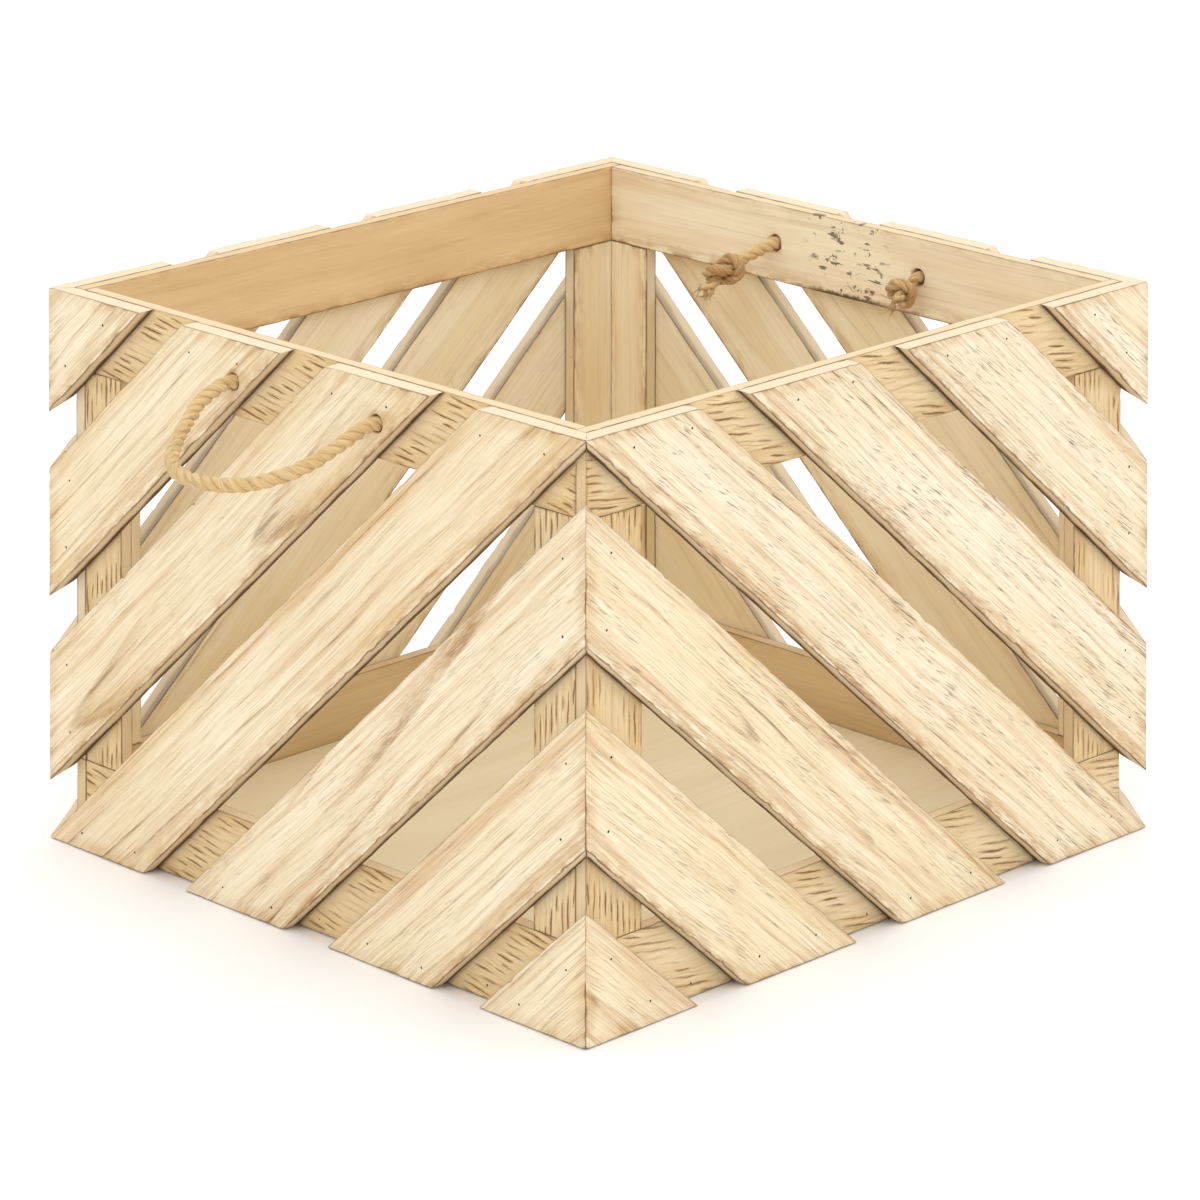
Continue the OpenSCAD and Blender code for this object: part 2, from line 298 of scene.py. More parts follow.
def board(name, outline, thick, place, step=3.2, tstep=3.4, round_r=0.7, holes=(), rough=0.25, chips=0.5, exposed=None, rows=None, stain=None, tilt=0.0, nsteps=(0.3, 0.8, 2.0)):
    """A board as one closed mesh of quads.
    outline(n) gives the board's convex polygon of (s, t) points in millimetres at depth n, s along the grain.
    place(s, t, n) gives world points in metres. All roughness goes inwards, so the board stays inside its CAD solid."""
    seed = seed_of(name)
    nl = levels(thick, thick, nsteps)
    polys = [outline(n) for n in nl]
    # rows of t: fixed shares of the polygon's height, with corners that lie inside it kept on their own row
    tops = [(min(p[1] for p in q), max(p[1] for p in q)) for q in polys]
    keys = []
    for q, (t0, t1) in zip(polys, tops):
        inner = sorted(p[1] for p in q if t0 + 0.25 < p[1] < t1 - 0.25)
        merged = []
        for t in inner:
            if not merged or t - merged[-1] > 0.2:
                merged.append(t)
        keys.append(merged)
    count = min(len(x) for x in keys)
    keys = [x if len(x) == count else x[:count] for x in keys]
    blunt = [(0.6 if abs(np.subtract(*span(q, t0 + 1e-6))) < 1.0 else 0.0, 0.6 if abs(np.subtract(*span(q, t1 - 1e-6))) < 1.0 else 0.0) for q, (t0, t1) in zip(polys, tops)]
    tops = [(t0 + b0, t1 - b1) for (t0, t1), (b0, b1) in zip(tops, blunt)]
    ref = len(nl) // 2
    knots = [[t0] + x + [t1] for (t0, t1), x in zip(tops, keys)]
    ref_knots = knots[0]
    tl = []
    for j in range(len(ref_knots) - 1):
        length = ref_knots[j + 1] - ref_knots[j]
        real = max(k[j + 1] - k[j] for k in knots)
        if real > 8:
            part = levels(real, tstep, (0.3, 0.8, 1.8)) / real
        else:
            part = np.linspace(0, 1, max(2, int(real / 2) + 1))
        tl += [(j, f) for f in part[: None if j == len(ref_knots) - 2 else -1]]
    lengths = [b - a for q, (t0, t1) in zip(polys, tops) for a, b in [span(q, t) for t in np.linspace(t0 + 1e-6, t1 - 1e-6, 5)]]
    longest = max(lengths)
    sl = levels(longest, step, (0.3, 0.8, 1.8)) / longest
    ni, nj, nk = len(sl), len(tl), len(nl)
    S, T, Nn = np.zeros((ni, nj, nk)), np.zeros((ni, nj, nk)), np.zeros((ni, nj, nk))
    DA, DB = np.zeros((ni, nj, nk)), np.zeros((ni, nj, nk))
    for k, (q, kn) in enumerate(zip(polys, knots)):
        for j, (seg, f) in enumerate(tl):
            t = kn[seg] + f * (kn[seg + 1] - kn[seg])
            t = min(max(t, kn[0] + 1e-6), kn[-1] - 1e-6)
            a, b = span(q, t)
            S[:, j, k] = a + sl * (b - a)
            T[:, j, k] = t
            DA[:, j, k] = np.minimum(sl, 1 - sl) * (b - a)
            DB[:, j, k] = min(t - kn[0], kn[-1] - t)
        Nn[:, :, k] = nl[k]
    DC = np.minimum(Nn, thick - Nn)
    # round the arrises
    r = round_r * (1 + 0.35 * vnoise(S / 9, T / 9, seed + 3))
    ra, rb, rc = np.clip(r - DA * 0.7, 0, None), np.clip(r - DB, 0, None), np.clip(r - DC, 0, None)
    ell = np.sqrt(ra * ra + rb * rb + rc * rc) + 1e-12
    f = np.where(ell > r, r / ell, 1.0)
    low = np.arange(ni)[:, None, None] < ni / 2
    tmid = np.array([(k[0] + k[-1]) / 2 for k in knots])[None, None, :]
    da, db, dc = ra * (1 - f), rb * (1 - f), rc * (1 - f)
    S2 = S + np.where(low, da, -da)
    T2 = T + np.where(T < tmid, db, -db)
    N2 = Nn + np.where(Nn < thick / 2, dc, -dc)
    # uneven sawn edges, small chips, and a slightly uneven face, all inwards
    edge = np.clip(1 - DB / 4, 0, 1)
    wob = rough * (0.5 + 0.5 * vnoise(S / 16, T * 0 + (T > tmid) * 9, seed)) + rough * 0.5 * (0.5 + 0.5 * vnoise(S / 4.5, (T > tmid) * 5.0, seed + 1))
    chip = chips * np.clip(vnoise(S / 5.5, (T > tmid) * 7.0, seed + 2) - 0.72, 0, 1) * 5 * np.clip(1 - Nn / 5, 0, 1)
    T2 = T2 + np.where(T < tmid, 1, -1) * edge * (wob + chip)
    endf = np.clip(1 - DA / 3, 0, 1)
    endw = rough * 0.5 * (0.5 + 0.5 * vnoise(T / 2.2, low * 4.0, seed + 5)) + chips * 0.6 * np.clip(vnoise(T / 3.0, low * 3.0, seed + 6) - 0.55, 0, 1) * 3
    S2 = S2 + np.where(low, 1, -1) * endf * endw
    face = rough * 0.45 * (0.5 + 0.5 * vnoise(S / 26, T / 9, seed + 7)) + 0.04 * (0.5 + 0.5 * vnoise(S / 3.1, T / 30, seed + 8))
    N2 = N2 + np.where(Nn < thick / 2, face, -face) * np.clip(1 - DC / 2, 0, 1)
    # vertices of the shell only
    index = -np.ones((ni, nj, nk), int)
    shell = np.zeros((ni, nj, nk), bool)
    shell[0], shell[-1], shell[:, 0], shell[:, -1], shell[:, :, 0], shell[:, :, -1] = (True,) * 6
    drop = np.zeros((ni, nj), bool)  # cells taken out round a hole
    rings = []
    for hs, ht, hr in holes:
        half = hr + 2.0
        cs = (S[:-1, :-1, 0] + S[1:, 1:, 0]) / 2
        ct = (T[:-1, :-1, 0] + T[1:, 1:, 0]) / 2
        inside = (np.abs(cs - hs) < half) & (np.abs(ct - ht) < half)
        ii, jj = np.where(inside)
        i0, i1, j0, j1 = ii.min(), ii.max() + 1, jj.min(), jj.max() + 1
        drop[i0:i1, j0:j1] = True
        rings.append((i0, i1, j0, j1, hs, ht, hr))
        for i in range(i0 + 1, i1):
            for j in range(j0 + 1, j1):
                shell[i, j, 0] = shell[i, j, -1] = False
    index[shell] = np.arange(shell.sum())
    s, t, n = S2[shell], T2[shell], N2[shell]
    ed = np.minimum(DB, DA)[shell]
    kind = np.where(DC < 1e-4, np.where(Nn < thick / 2, 0, 1), np.where(DB < 1e-4, 2, 3))[shell]
    S0, T0, N0 = [s], [t], [n]
    extra_ed, extra_kind = [ed], [kind]
    faces = []

    def quad(a, b, c, d):
        if len({a, b, c, d}) == 4:
            faces.append((a, b, c, d))

    for i in range(ni - 1):
        for j in range(nj - 1):
            if not drop[i, j]:
                quad(index[i, j, 0], index[i, j + 1, 0], index[i + 1, j + 1, 0], index[i + 1, j, 0])
                quad(index[i, j, -1], index[i + 1, j, -1], index[i + 1, j + 1, -1], index[i, j + 1, -1])
    for i in range(ni - 1):
        for k in range(nk - 1):
            quad(index[i, 0, k], index[i + 1, 0, k], index[i + 1, 0, k + 1], index[i, 0, k + 1])
            quad(index[i, -1, k], index[i, -1, k + 1], index[i + 1, -1, k + 1], index[i + 1, -1, k])
    for j in range(nj - 1):
        for k in range(nk - 1):
            quad(index[0, j, k], index[0, j, k + 1], index[0, j + 1, k + 1], index[0, j + 1, k])
            quad(index[-1, j, k], index[-1, j + 1, k], index[-1, j + 1, k + 1], index[-1, j, k + 1])
    total = int(shell.sum())
    for i0, i1, j0, j1, hs, ht, hr in rings:
        loop = [(i, j0) for i in range(i0, i1)] + [(i1, j) for j in range(j0, j1)] + [(i, j1) for i in range(i1, i0, -1)] + [(i0, j) for j in range(j1, j0, -1)]
        # refine the loop direction into a ring of points on the hole, at the angle of each loop point
        ang = np.array([math.atan2(T[i, j, 0] - ht, S[i, j, 0] - hs) for i, j in loop])
        m = len(loop)
        made = []
        for depth, rr in ((0.35, hr + 0.9), (0.45, hr + 0.3), (1.0, hr), (thick / 2, hr), (thick - 1.0, hr), (thick - 0.45, hr + 0.3), (thick - 0.35, hr + 0.9)):
            wobble = 0.12 * vnoise(ang * 1.7, ang * 0 + depth / 4, seed + 9)
            S0.append(hs + (rr + wobble) * np.cos(ang))
            T0.append(ht + (rr + wobble) * np.sin(ang))
            N0.append(np.full(m, depth))
            extra_ed.append(np.full(m, 0.6 if 0.6 < depth < thick - 0.6 else 1.2))
            extra_kind.append(np.full(m, 3 if 0.6 < depth < thick - 0.6 else (0 if depth < thick / 2 else 1)))
            made.append(list(range(total, total + m)))
            total += m
        outer = [index[i, j, 0] for i, j in loop]
        inner = [index[i, j, -1] for i, j in loop]
        chain = [outer] + made + [inner]
        for a, b in zip(chain[:-1], chain[1:]):
            for c in range(m):
                d = (c + 1) % m
                quad(a[c], b[c], b[d], a[d])
    s, t, n = np.concatenate(S0), np.concatenate(T0), np.concatenate(N0)
    ed, kind = np.concatenate(extra_ed), np.concatenate(extra_kind)
    pts = place(s, t, n)
    mesh = bpy.data.meshes.new(name)
    mesh.from_pydata(pts.tolist(), [], faces)
    mesh.update()
    fix_normals(mesh)
    rnd = [hash01(seed, 1.0), hash01(seed, 2.0), hash01(seed, 3.0)]
    put(mesh, "pl", "FLOAT_VECTOR", np.stack([s, t, n], -1))
    put(mesh, "sd", "FLOAT_VECTOR", np.tile(np.array(rnd, float), (len(s), 1)))
    put(mesh, "ed", "FLOAT", ed)
    gap = exposed(s, t, n) if exposed is not None else np.zeros(len(s))
    put(mesh, "fx", "FLOAT_VECTOR", np.stack([(kind == 0).astype(float), gap, (kind == 3).astype(float)], -1))
    half = np.concatenate([(T < tmid)[shell].astype(float)] + [(np.full(len(x), 0.5)) for x in T0[1:]])
    # side faces: 1 on the lower side, 0.35 on the upper; wood() uses this weight to paint shade on the lower side faces
    put(mesh, "sidef", "FLOAT", (kind == 2) * (0.35 + 0.65 * half))
    put(mesh, "lo", "FLOAT", half)
    put(mesh, "ln", "FLOAT", rows(s, t) if rows is not None else np.zeros(len(s)))
    put(mesh, "stain", "FLOAT", stain(s, t, n) if stain is not None else np.zeros(len(s)))
    put(mesh, "tilt", "FLOAT", np.full(len(s), tilt))
    put(mesh, "nb", "FLOAT", np.minimum(n, thick - n))
    mesh.shade_smooth()
    ob = bpy.data.objects.new(name, mesh)
    bpy.context.scene.collection.objects.link(ob)
    try:
        bpy.context.view_layer.objects.active = ob
        ob.select_set(True)
        bpy.ops.object.shade_smooth_by_angle(angle=math.radians(48), keep_sharp_edges=False)
        ob.select_set(False)
    except Exception:
        pass
    return ob


def fix_normals(mesh):
    """Turns the faces of a closed mesh so that its volume is positive."""
    co = np.zeros(len(mesh.vertices) * 3)
    mesh.vertices.foreach_get("co", co)
    co = co.reshape(-1, 3)
    co = co - co.mean(0)
    mesh.calc_loop_triangles()
    tri = np.zeros(len(mesh.loop_triangles) * 3, int)
    mesh.loop_triangles.foreach_get("vertices", tri)
    tri = tri.reshape(-1, 3)
    vol = np.einsum("ij,ij->i", co[tri[:, 0]], np.cross(co[tri[:, 1]], co[tri[:, 2]])).sum()
    if vol < 0:
        mesh.flip_normals()


def put(mesh, name, kind, values):
    at = mesh.attributes.new(name, kind, "POINT")
    key = "vector" if kind == "FLOAT_VECTOR" else "value"
    at.data.foreach_set(key, np.asarray(values, np.float32).ravel())


# ---------------------------------------------------------------- node helper


def lin(h):
    h = h.lstrip("#")
    out = []
    for i in (0, 2, 4):
        c = int(h[i : i + 2], 16) / 255
        out.append(c / 12.92 if c <= 0.04045 else ((c + 0.055) / 1.055) ** 2.4)
    return (*out, 1.0)


class Nodes:
    def __init__(self, name):
        self.mat = bpy.data.materials.new(name)
        self.mat.use_nodes = True
        self.t = self.mat.node_tree
        self.t.nodes.clear()
        self.out = self.new("ShaderNodeOutputMaterial")
        self.bsdf = self.new("ShaderNodeBsdfPrincipled")
        self.t.links.new(self.bsdf.outputs[0], self.out.inputs[0])

    def new(self, kind):
        return self.t.nodes.new(kind)

    def put(self, socket, v):
        if hasattr(v, "is_output"):
            self.t.links.new(v, socket)
        elif v is not None:
            socket.default_value = v

    def attr(self, name, vector=True):
        n = self.new("ShaderNodeAttribute")
        n.attribute_name = name
        return n.outputs["Vector"] if vector else n.outputs["Fac"]

    def m(self, op, a, b=None, c=None, clamp=False):
        n = self.new("ShaderNodeMath")
        n.operation = op
        n.use_clamp = clamp
        for s, v in zip(n.inputs, (a, b, c)):
            if v is not None:
                self.put(s, v)
        return n.outputs[0]

    def add(self, a, b):
        return self.m("ADD", a, b)

    def sub(self, a, b):
        return self.m("SUBTRACT", a, b)

    def mul(self, a, b):
        return self.m("MULTIPLY", a, b)

    def sep(self, v):
        n = self.new("ShaderNodeSeparateXYZ")
        self.put(n.inputs[0], v)
        return n.outputs

    def comb(self, x, y, z=0.0):
        n = self.new("ShaderNodeCombineXYZ")
        for s, v in zip(n.inputs, (x, y, z)):
            self.put(s, v)
        return n.outputs[0]

    def noise(self, vec, scale=1.0, detail=2.0, rough=0.5, distort=0.0):
        n = self.new("ShaderNodeTexNoise")
        n.noise_dimensions = "3D"
        self.put(n.inputs["Vector"], vec)
        n.inputs["Scale"].default_value = scale
        n.inputs["Detail"].default_value = detail
        n.inputs["Roughness"].default_value = rough
        n.inputs["Distortion"].default_value = distort
        return n.outputs["Fac"]

    def step(self, v, a, b, c=0.0, d=1.0, smooth=True):
        n = self.new("ShaderNodeMapRange")
        n.interpolation_type = "SMOOTHSTEP" if smooth else "LINEAR"
        n.clamp = True
        for s, x in zip(n.inputs, (v, a, b, c, d)):
            self.put(s, x)
        return n.outputs[0]

    def mix(self, f, a, b, mode="MIX"):
        n = self.new("ShaderNodeMix")
        n.data_type = "RGBA"
        n.blend_type = mode
        n.clamp_factor = True
        self.put(n.inputs[0], f)
        self.put(n.inputs[6], a)
        self.put(n.inputs[7], b)
        return n.outputs[2]

    def ramp(self, f, stops):
        n = self.new("ShaderNodeValToRGB")
        e = n.color_ramp.elements
        while len(e) > 1:
            e.remove(e[0])
        e[0].position = stops[0][0]
        e[0].color = stops[0][1]
        for p, c in stops[1:]:
            x = e.new(p)
            x.color = c
        self.put(n.inputs[0], f)
        return n.outputs[0]

    def bump(self, h, strength=0.3, dist=0.0003, normal=None):
        n = self.new("ShaderNodeBump")
        n.inputs["Strength"].default_value = strength
        n.inputs["Distance"].default_value = dist
        self.put(n.inputs["Height"], h)
        if normal is not None:
            self.put(n.inputs["Normal"], normal)
        return n.outputs[0]


def grey(v):
    return (v, v, v, 1.0)


def wood(name, light, mid, line, burn, spacing=5.2, dash=0.5, slant=0.04, contrast=1.0, inner=None, charred=0.0, edge_burn=0.7, pale=0.35, rough=0.62, saw=0.3, fibre=1.0, figure=1.0):
    """Board material. Reads the board's own coordinates: pl (mm along, across, deep), sd (random), ed (mm from an edge), fx."""
    g = Nodes(name)
    s, t, n = g.sep(g.attr("pl"))
    r1, r2, r3 = g.sep(g.attr("sd"))
    outer, gap, endg = g.sep(g.attr("fx"))
    side, ed, low = g.attr("sidef", False), g.attr("ed", False), g.attr("lo", False)
    o1, o2, o3 = g.mul(r1, 131.0), g.mul(r2, 97.0), g.mul(r3, 53.0)
    # slow waver of the grain
    w1 = g.noise(g.comb(g.mul(s, 1 / 110), g.add(g.mul(t, 1 / 60), o1), o2), 1, 2, 0.5)
    w2 = g.noise(g.comb(g.mul(s, 1 / 30), g.add(g.mul(t, 1 / 12), o2), o3), 1, 2, 0.5)
    tw = g.add(t, g.add(g.mul(g.sub(w1, 0.5), 6.5), g.mul(g.sub(w2, 0.5), 0.7)))
    # growth rings cut by the board: distance to a pith line that drifts along the board
    t0 = g.mul(g.sub(r1, 0.35), 190.0)
    n0 = g.add(g.add(g.mul(r2, 46.0), 8.0), g.mul(g.mul(g.sub(r3, 0.5), 0.16), s))
    dn = g.add(n0, n)
    dt = g.sub(tw, t0)
    rad = g.m("SQRT", g.add(g.mul(dt, dt), g.mul(dn, dn)))
    sp = g.add(spacing * 0.75, g.mul(r3, spacing * 0.6))
    ph = g.m("DIVIDE", rad, sp)
    ph = g.add(ph, g.mul(g.noise(g.comb(g.mul(rad, 1 / 17), o3, o1), 1, 1, 0.5), 1.8))
    fr = g.m("FRACT", ph)
    idx = g.m("FLOOR", ph)
    ampn = g.noise(g.comb(g.mul(idx, 0.73), g.add(g.mul(s, 1 / 120), o2), o1), 1, 1, 0.5)
    amp = g.step(ampn, 0.34, 0.66, 0.10, 1.0)
    late = g.add(g.mul(g.step(fr, 0.50, 0.93), g.step(fr, 0.92, 1.0, 1.0, 0.0)), g.mul(g.step(fr, 0.0, 0.14, 1.0, 0.0), 0.25))
    own = g.add(0.55, g.mul(r3, 0.75))
    # the lines are made of short hatching, and the middle of a board is calmer than its edges
    hatch = g.noise(g.comb(g.add(g.mul(s, 1 / 7.5), o3), g.add(g.mul(tw, 1 / 0.50), o2), g.mul(n, 1 / 2.0)), 1, 2, 0.55)
    hatch = g.step(hatch, 0.40, 0.62, 0.48, 1.0)
    calm = g.m("SUBTRACT", 1.0, g.mul(g.step(ed, 6.0, 15.0), 0.40))
    lines = g.mul(g.mul(g.mul(g.mul(late, amp), contrast), own), g.mul(hatch, calm))
    bold = g.mul(g.mul(g.mul(g.step(fr, 0.80, 0.92), g.step(fr, 0.93, 0.99, 1.0, 0.0)), g.step(ampn, 0.50, 0.64)), g.mul(hatch, calm))
    # fibres, and the short pore dashes that lean slightly off the grain
    fib = g.noise(g.comb(g.add(g.mul(s, 1 / 38), o1), g.add(g.mul(tw, 1 / 0.62), o2), g.mul(n, 1 / 1.5)), 1, 3, 0.62)
    ts = g.add(t, g.mul(s, slant))
    po = g.noise(g.comb(g.add(g.mul(s, 1 / 13.0), o3), g.add(g.mul(ts, 1 / 0.62), o1), g.mul(n, 1 / 2.0)), 1, 2, 0.5)
    patch = g.noise(g.comb(g.add(g.mul(s, 1 / 70), o2), g.add(g.mul(t, 1 / 15), o3), 3.0), 1, 2, 0.5)
    dense = g.add(g.mul(lines, 0.09), g.mul(g.step(patch, 0.40, 0.70), 0.10))
    pores = g.mul(g.mul(g.step(g.add(po, dense), 0.63, 0.76), dash), g.add(0.5, r1))
    # slow tone drift: cream to rosy tan
    tone = g.noise(g.comb(g.add(g.mul(s, 1 / 150), o3), g.add(g.mul(t, 1 / 30), o1), 7.0), 1, 2, 0.55)
    base = g.mix(g.step(tone, 0.35, 0.70), light, mid)
    base = g.mix(g.mul(g.step(r1, 0.35, 1.0), 0.50), base, lin("#f3e8d0"))
    strong = figure
    if inner is not None:
        base = g.mix(outer, g.mix(g.step(tone, 0.35, 0.70), inner[0], inner[1]), base)
        strong = g.add(0.32, g.mul(outer, 0.68))
    shift = g.mul(g.sub(r2, 0.5), 0.9)
    col = g.mix(g.step(g.add(tone, g.mul(shift, 0.4)), 0.5, 0.95, 0.0, pale), base, lin("#e0c3a0"))
    bandn = g.noise(g.comb(g.add(g.mul(s, 1 / 260), o2), g.add(g.mul(tw, 1 / 8.5), o1), 17.0), 1, 2, 0.5)
    band = g.step(bandn, 0.54, 0.66)
    col = g.mix(g.mul(g.mul(g.step(ed, 5.0, 15.0), 0.34 * figure), outer), col, lin("#f6eacf"))
    col = g.mix(g.mul(g.mul(band, 0.44), g.mul(strong, calm)), col, lin("#c79e6c"))
    soft = g.noise(g.comb(g.add(g.mul(s, 1 / 180), o3), g.add(g.mul(tw, 1 / 2.6), o2), 4.0), 1, 2, 0.55)
    col = g.mix(g.mul(g.mul(g.step(soft, 0.48, 0.72), 0.50), g.mul(strong, calm)), col, lin("#cba578"))
    col = g.mix(g.mul(g.mul(lines, 0.70), strong), col, line)
    col = g.mix(g.mul(g.mul(bold, 0.62 * min(contrast, 1.0)), g.mul(own, strong)), col, g.mix(0.35, burn, line))
    col = g.mix(g.mul(g.step(fib, 0.42, 0.76, 0.0, 0.48 * fibre), strong), col, line)
    col = g.mix(g.mul(g.mul(g.step(fib, 0.56, 0.78, 0.0, 0.38 * fibre), g.add(0.60, g.mul(band, 0.9))), strong), col, burn)
    col = g.mix(g.step(fib, 0.48, 0.22, 0.0, 0.30 * fibre), col, lin("#fbf4e6"))
    col = g.mix(g.mul(g.mul(pores, 0.50), strong), col, burn)
    # scorched latewood streaks in patches
    sc = g.noise(g.comb(g.add(g.mul(s, 1 / 60), o1), g.add(g.mul(tw, 1 / 5.5), o3), 11.0), 1, 2, 0.6)
    streak = g.mul(g.mul(g.step(sc, 0.56, 0.72), g.step(late, 0.35, 0.9)), amp)
    col = g.mix(g.mul(g.mul(streak, 0.68 * edge_burn), strong), col, burn)
    # toasted edges, and painted shade that makes the lower edge darker than the upper one
    en = g.noise(g.comb(g.add(g.mul(s, 1 / 15), o2), g.add(g.mul(t, 1 / 5), o1), g.mul(n, 0.2)), 1, 3, 0.6)
    lower_edge_shade = g.add(g.mul(low, 0.62), 0.38)
    reach = g.mul(g.add(0.5, g.mul(g.step(en, 0.38, 0.78), 3.0)), lower_edge_shade)
    edge_toast_and_shade = g.m("SUBTRACT", 1.0, g.m("DIVIDE", ed, reach), clamp=True)
    wide = g.m("SUBTRACT", 1.0, g.m("DIVIDE", ed, 10.0), clamp=True)
    col = g.mix(g.mul(g.mul(g.mul(wide, g.step(en, 0.34, 0.62)), lower_edge_shade), 0.80 * edge_burn), col, line)
    col = g.mix(g.mul(g.mul(edge_toast_and_shade, g.m("SUBTRACT", 1.0, endg, clamp=True)), 0.85 * edge_burn), col, burn)
    # long sides of the board
    flame = g.noise(g.comb(g.add(g.mul(s, 1 / 24), o3), g.mul(n, 1 / 6), o1), 1, 3, 0.6)
    if charred > 0:
        # frame: toasted only where the side comes up to the outer face
        scorch = g.mul(g.step(g.add(n, g.mul(g.sub(flame, 0.5), 2.4)), 1.5, 0.3), 0.55)
        sidec = g.mix(scorch, g.mix(0.35, inner[0] if inner else light, line), burn)
    else:
        # slats: pale in the middle, dark along both arrises and darkest at the back, where scorching and painted shadow
        # of the gap between the slats are laid together
        deep = g.step(g.add(n, g.mul(g.sub(flame, 0.5), 7.0)), 4.4, 8.2)
        sidec = g.mix(deep, g.mix(0.38, light, line), g.mix(0.30, burn, lin("#2a180c")))
    # lower side faces take the dark side colour fully and the upper ones less: painted shade
    side_on = g.step(side, 0.05, 0.30)
    col = g.mix(g.mul(side_on, 0.95), col, g.mix(g.add(0.15, g.mul(side, 0.85)), g.mix(0.20, light, line), sidec))
    # cut ends: close dots of end grain, a little darker
    dots = g.noise(g.comb(g.mul(s, 0.9), g.mul(t, 1.6), g.mul(n, 1.6)), 1, 3, 0.7)
    col = g.mix(g.mul(endg, 0.90), col, g.mix(g.step(dots, 0.42, 0.66, 0.0, 0.28), g.mix(0.12, light, line), burn))
    # thin scorched line along the arrises, darker along the lower edge as painted shade
    nb = g.attr("nb", False)
    arris = g.mul(g.m("MAXIMUM", side_on, endg), g.step(nb, 1.2, 0.4))
    on_face = g.m("SUBTRACT", 1.0, g.m("MAXIMUM", side_on, endg), clamp=True)
    face_arris = g.mul(g.mul(g.m("SUBTRACT", 1.0, g.m("DIVIDE", ed, 0.9), clamp=True), g.add(0.35, g.mul(low, 0.65))), on_face)
    col = g.mix(g.mul(g.m("MAXIMUM", arris, face_arris), g.step(flame, 0.34, 0.58, 0.28, 0.80)), col, burn)
    height = g.add(g.add(g.mul(fib, 0.40), g.mul(lines, -0.45)), g.mul(pores, -0.7))
    if charred > 0:
        # flame marks on the bare frame between the slats: short tapered strokes along the grain, one to a row
        lnv = g.attr("ln", False)
        q = g.m("DIVIDE", g.m("FRACT", lnv), WINDOW)
        inside = g.mul(g.step(gap, 0.15, 0.9), outer)
        frayed = g.noise(g.comb(g.add(g.mul(s, 1 / 3.2), o1), g.add(g.mul(t, 1 / 0.5), o2), 5.0), 1, 2, 0.6)
        bend = g.noise(g.comb(g.add(g.mul(s, 1 / 16), o2), g.add(g.mul(t, 1 / 9), o3), 1.0), 1, 1, 0.5)

        def strokes(pitch, long0, long1, key, fat):
            tt = g.add(g.m("DIVIDE", g.add(g.add(t, g.mul(s, g.attr("tilt", False))), g.mul(g.sub(bend, 0.5), 2.4)), pitch), 0.37)
            white = g.new("ShaderNodeTexWhiteNoise")
            white.noise_dimensions = "3D"
            g.put(white.inputs["Vector"], g.comb(g.add(g.m("FLOOR", tt), key), g.m("FLOOR", lnv), o1))
            h1, h2, h3 = g.sep(white.outputs["Color"])
            centre = g.add(0.5, g.mul(g.sub(h1, 0.5), 0.42))
            reach_q = g.add(long0, g.mul(h2, long1 - long0))
            x = g.m("DIVIDE", g.sub(q, centre), reach_q)
            along = g.m("SUBTRACT", 1.0, g.mul(x, x), clamp=True)
            across = g.m("ABSOLUTE", g.sub(g.m("FRACT", tt), 0.5))
            fat_here = g.mul(along, g.add(0.08, g.mul(h3, fat)))
            edge = g.sub(across, g.add(fat_here, g.mul(g.sub(frayed, 0.5), 0.26)))
            solid = g.mul(g.step(edge, 0.06, -0.08), g.step(along, 0.0, 0.5))
            soft = g.mul(g.step(edge, 0.24, -0.05), g.step(along, 0.0, 0.5))
            return solid, soft

        a1, b1 = strokes(4.0, 0.14, 0.44, 0.0, 0.085)
        a2, b2 = strokes(2.2, 0.08, 0.34, 31.0, 0.09)
        field = g.noise(g.comb(g.add(g.mul(s, 1 / 34), o3), g.add(g.mul(t, 1 / 17), o2), 9.0), 1, 1, 0.5)
        some = g.m("MAXIMUM", g.step(field, 0.42, 0.60, 0.10, 1.0), g.step(ed, 15.0, 5.0, 0.0, 0.9))
        col = g.mix(g.mul(inside, 0.45 * charred), col, lin("#ead09a"))
        col = g.mix(g.mul(g.mul(b1, inside), g.mul(some, 0.50 * charred)), col, lin("#c29358"))
        col = g.mix(g.mul(g.mul(a2, inside), g.mul(some, 0.42 * charred)), col, lin("#916537"))
        col = g.mix(g.mul(g.mul(a1, inside), g.mul(some, 0.82 * charred)), col, lin("#62401f"))
        height = g.add(height, g.mul(g.mul(a1, inside), -1.6))
        # painted shade gathered against the slats
        col = g.mix(g.mul(g.mul(g.step(gap, 1.6, 0.1), outer), 0.35), col, burn)
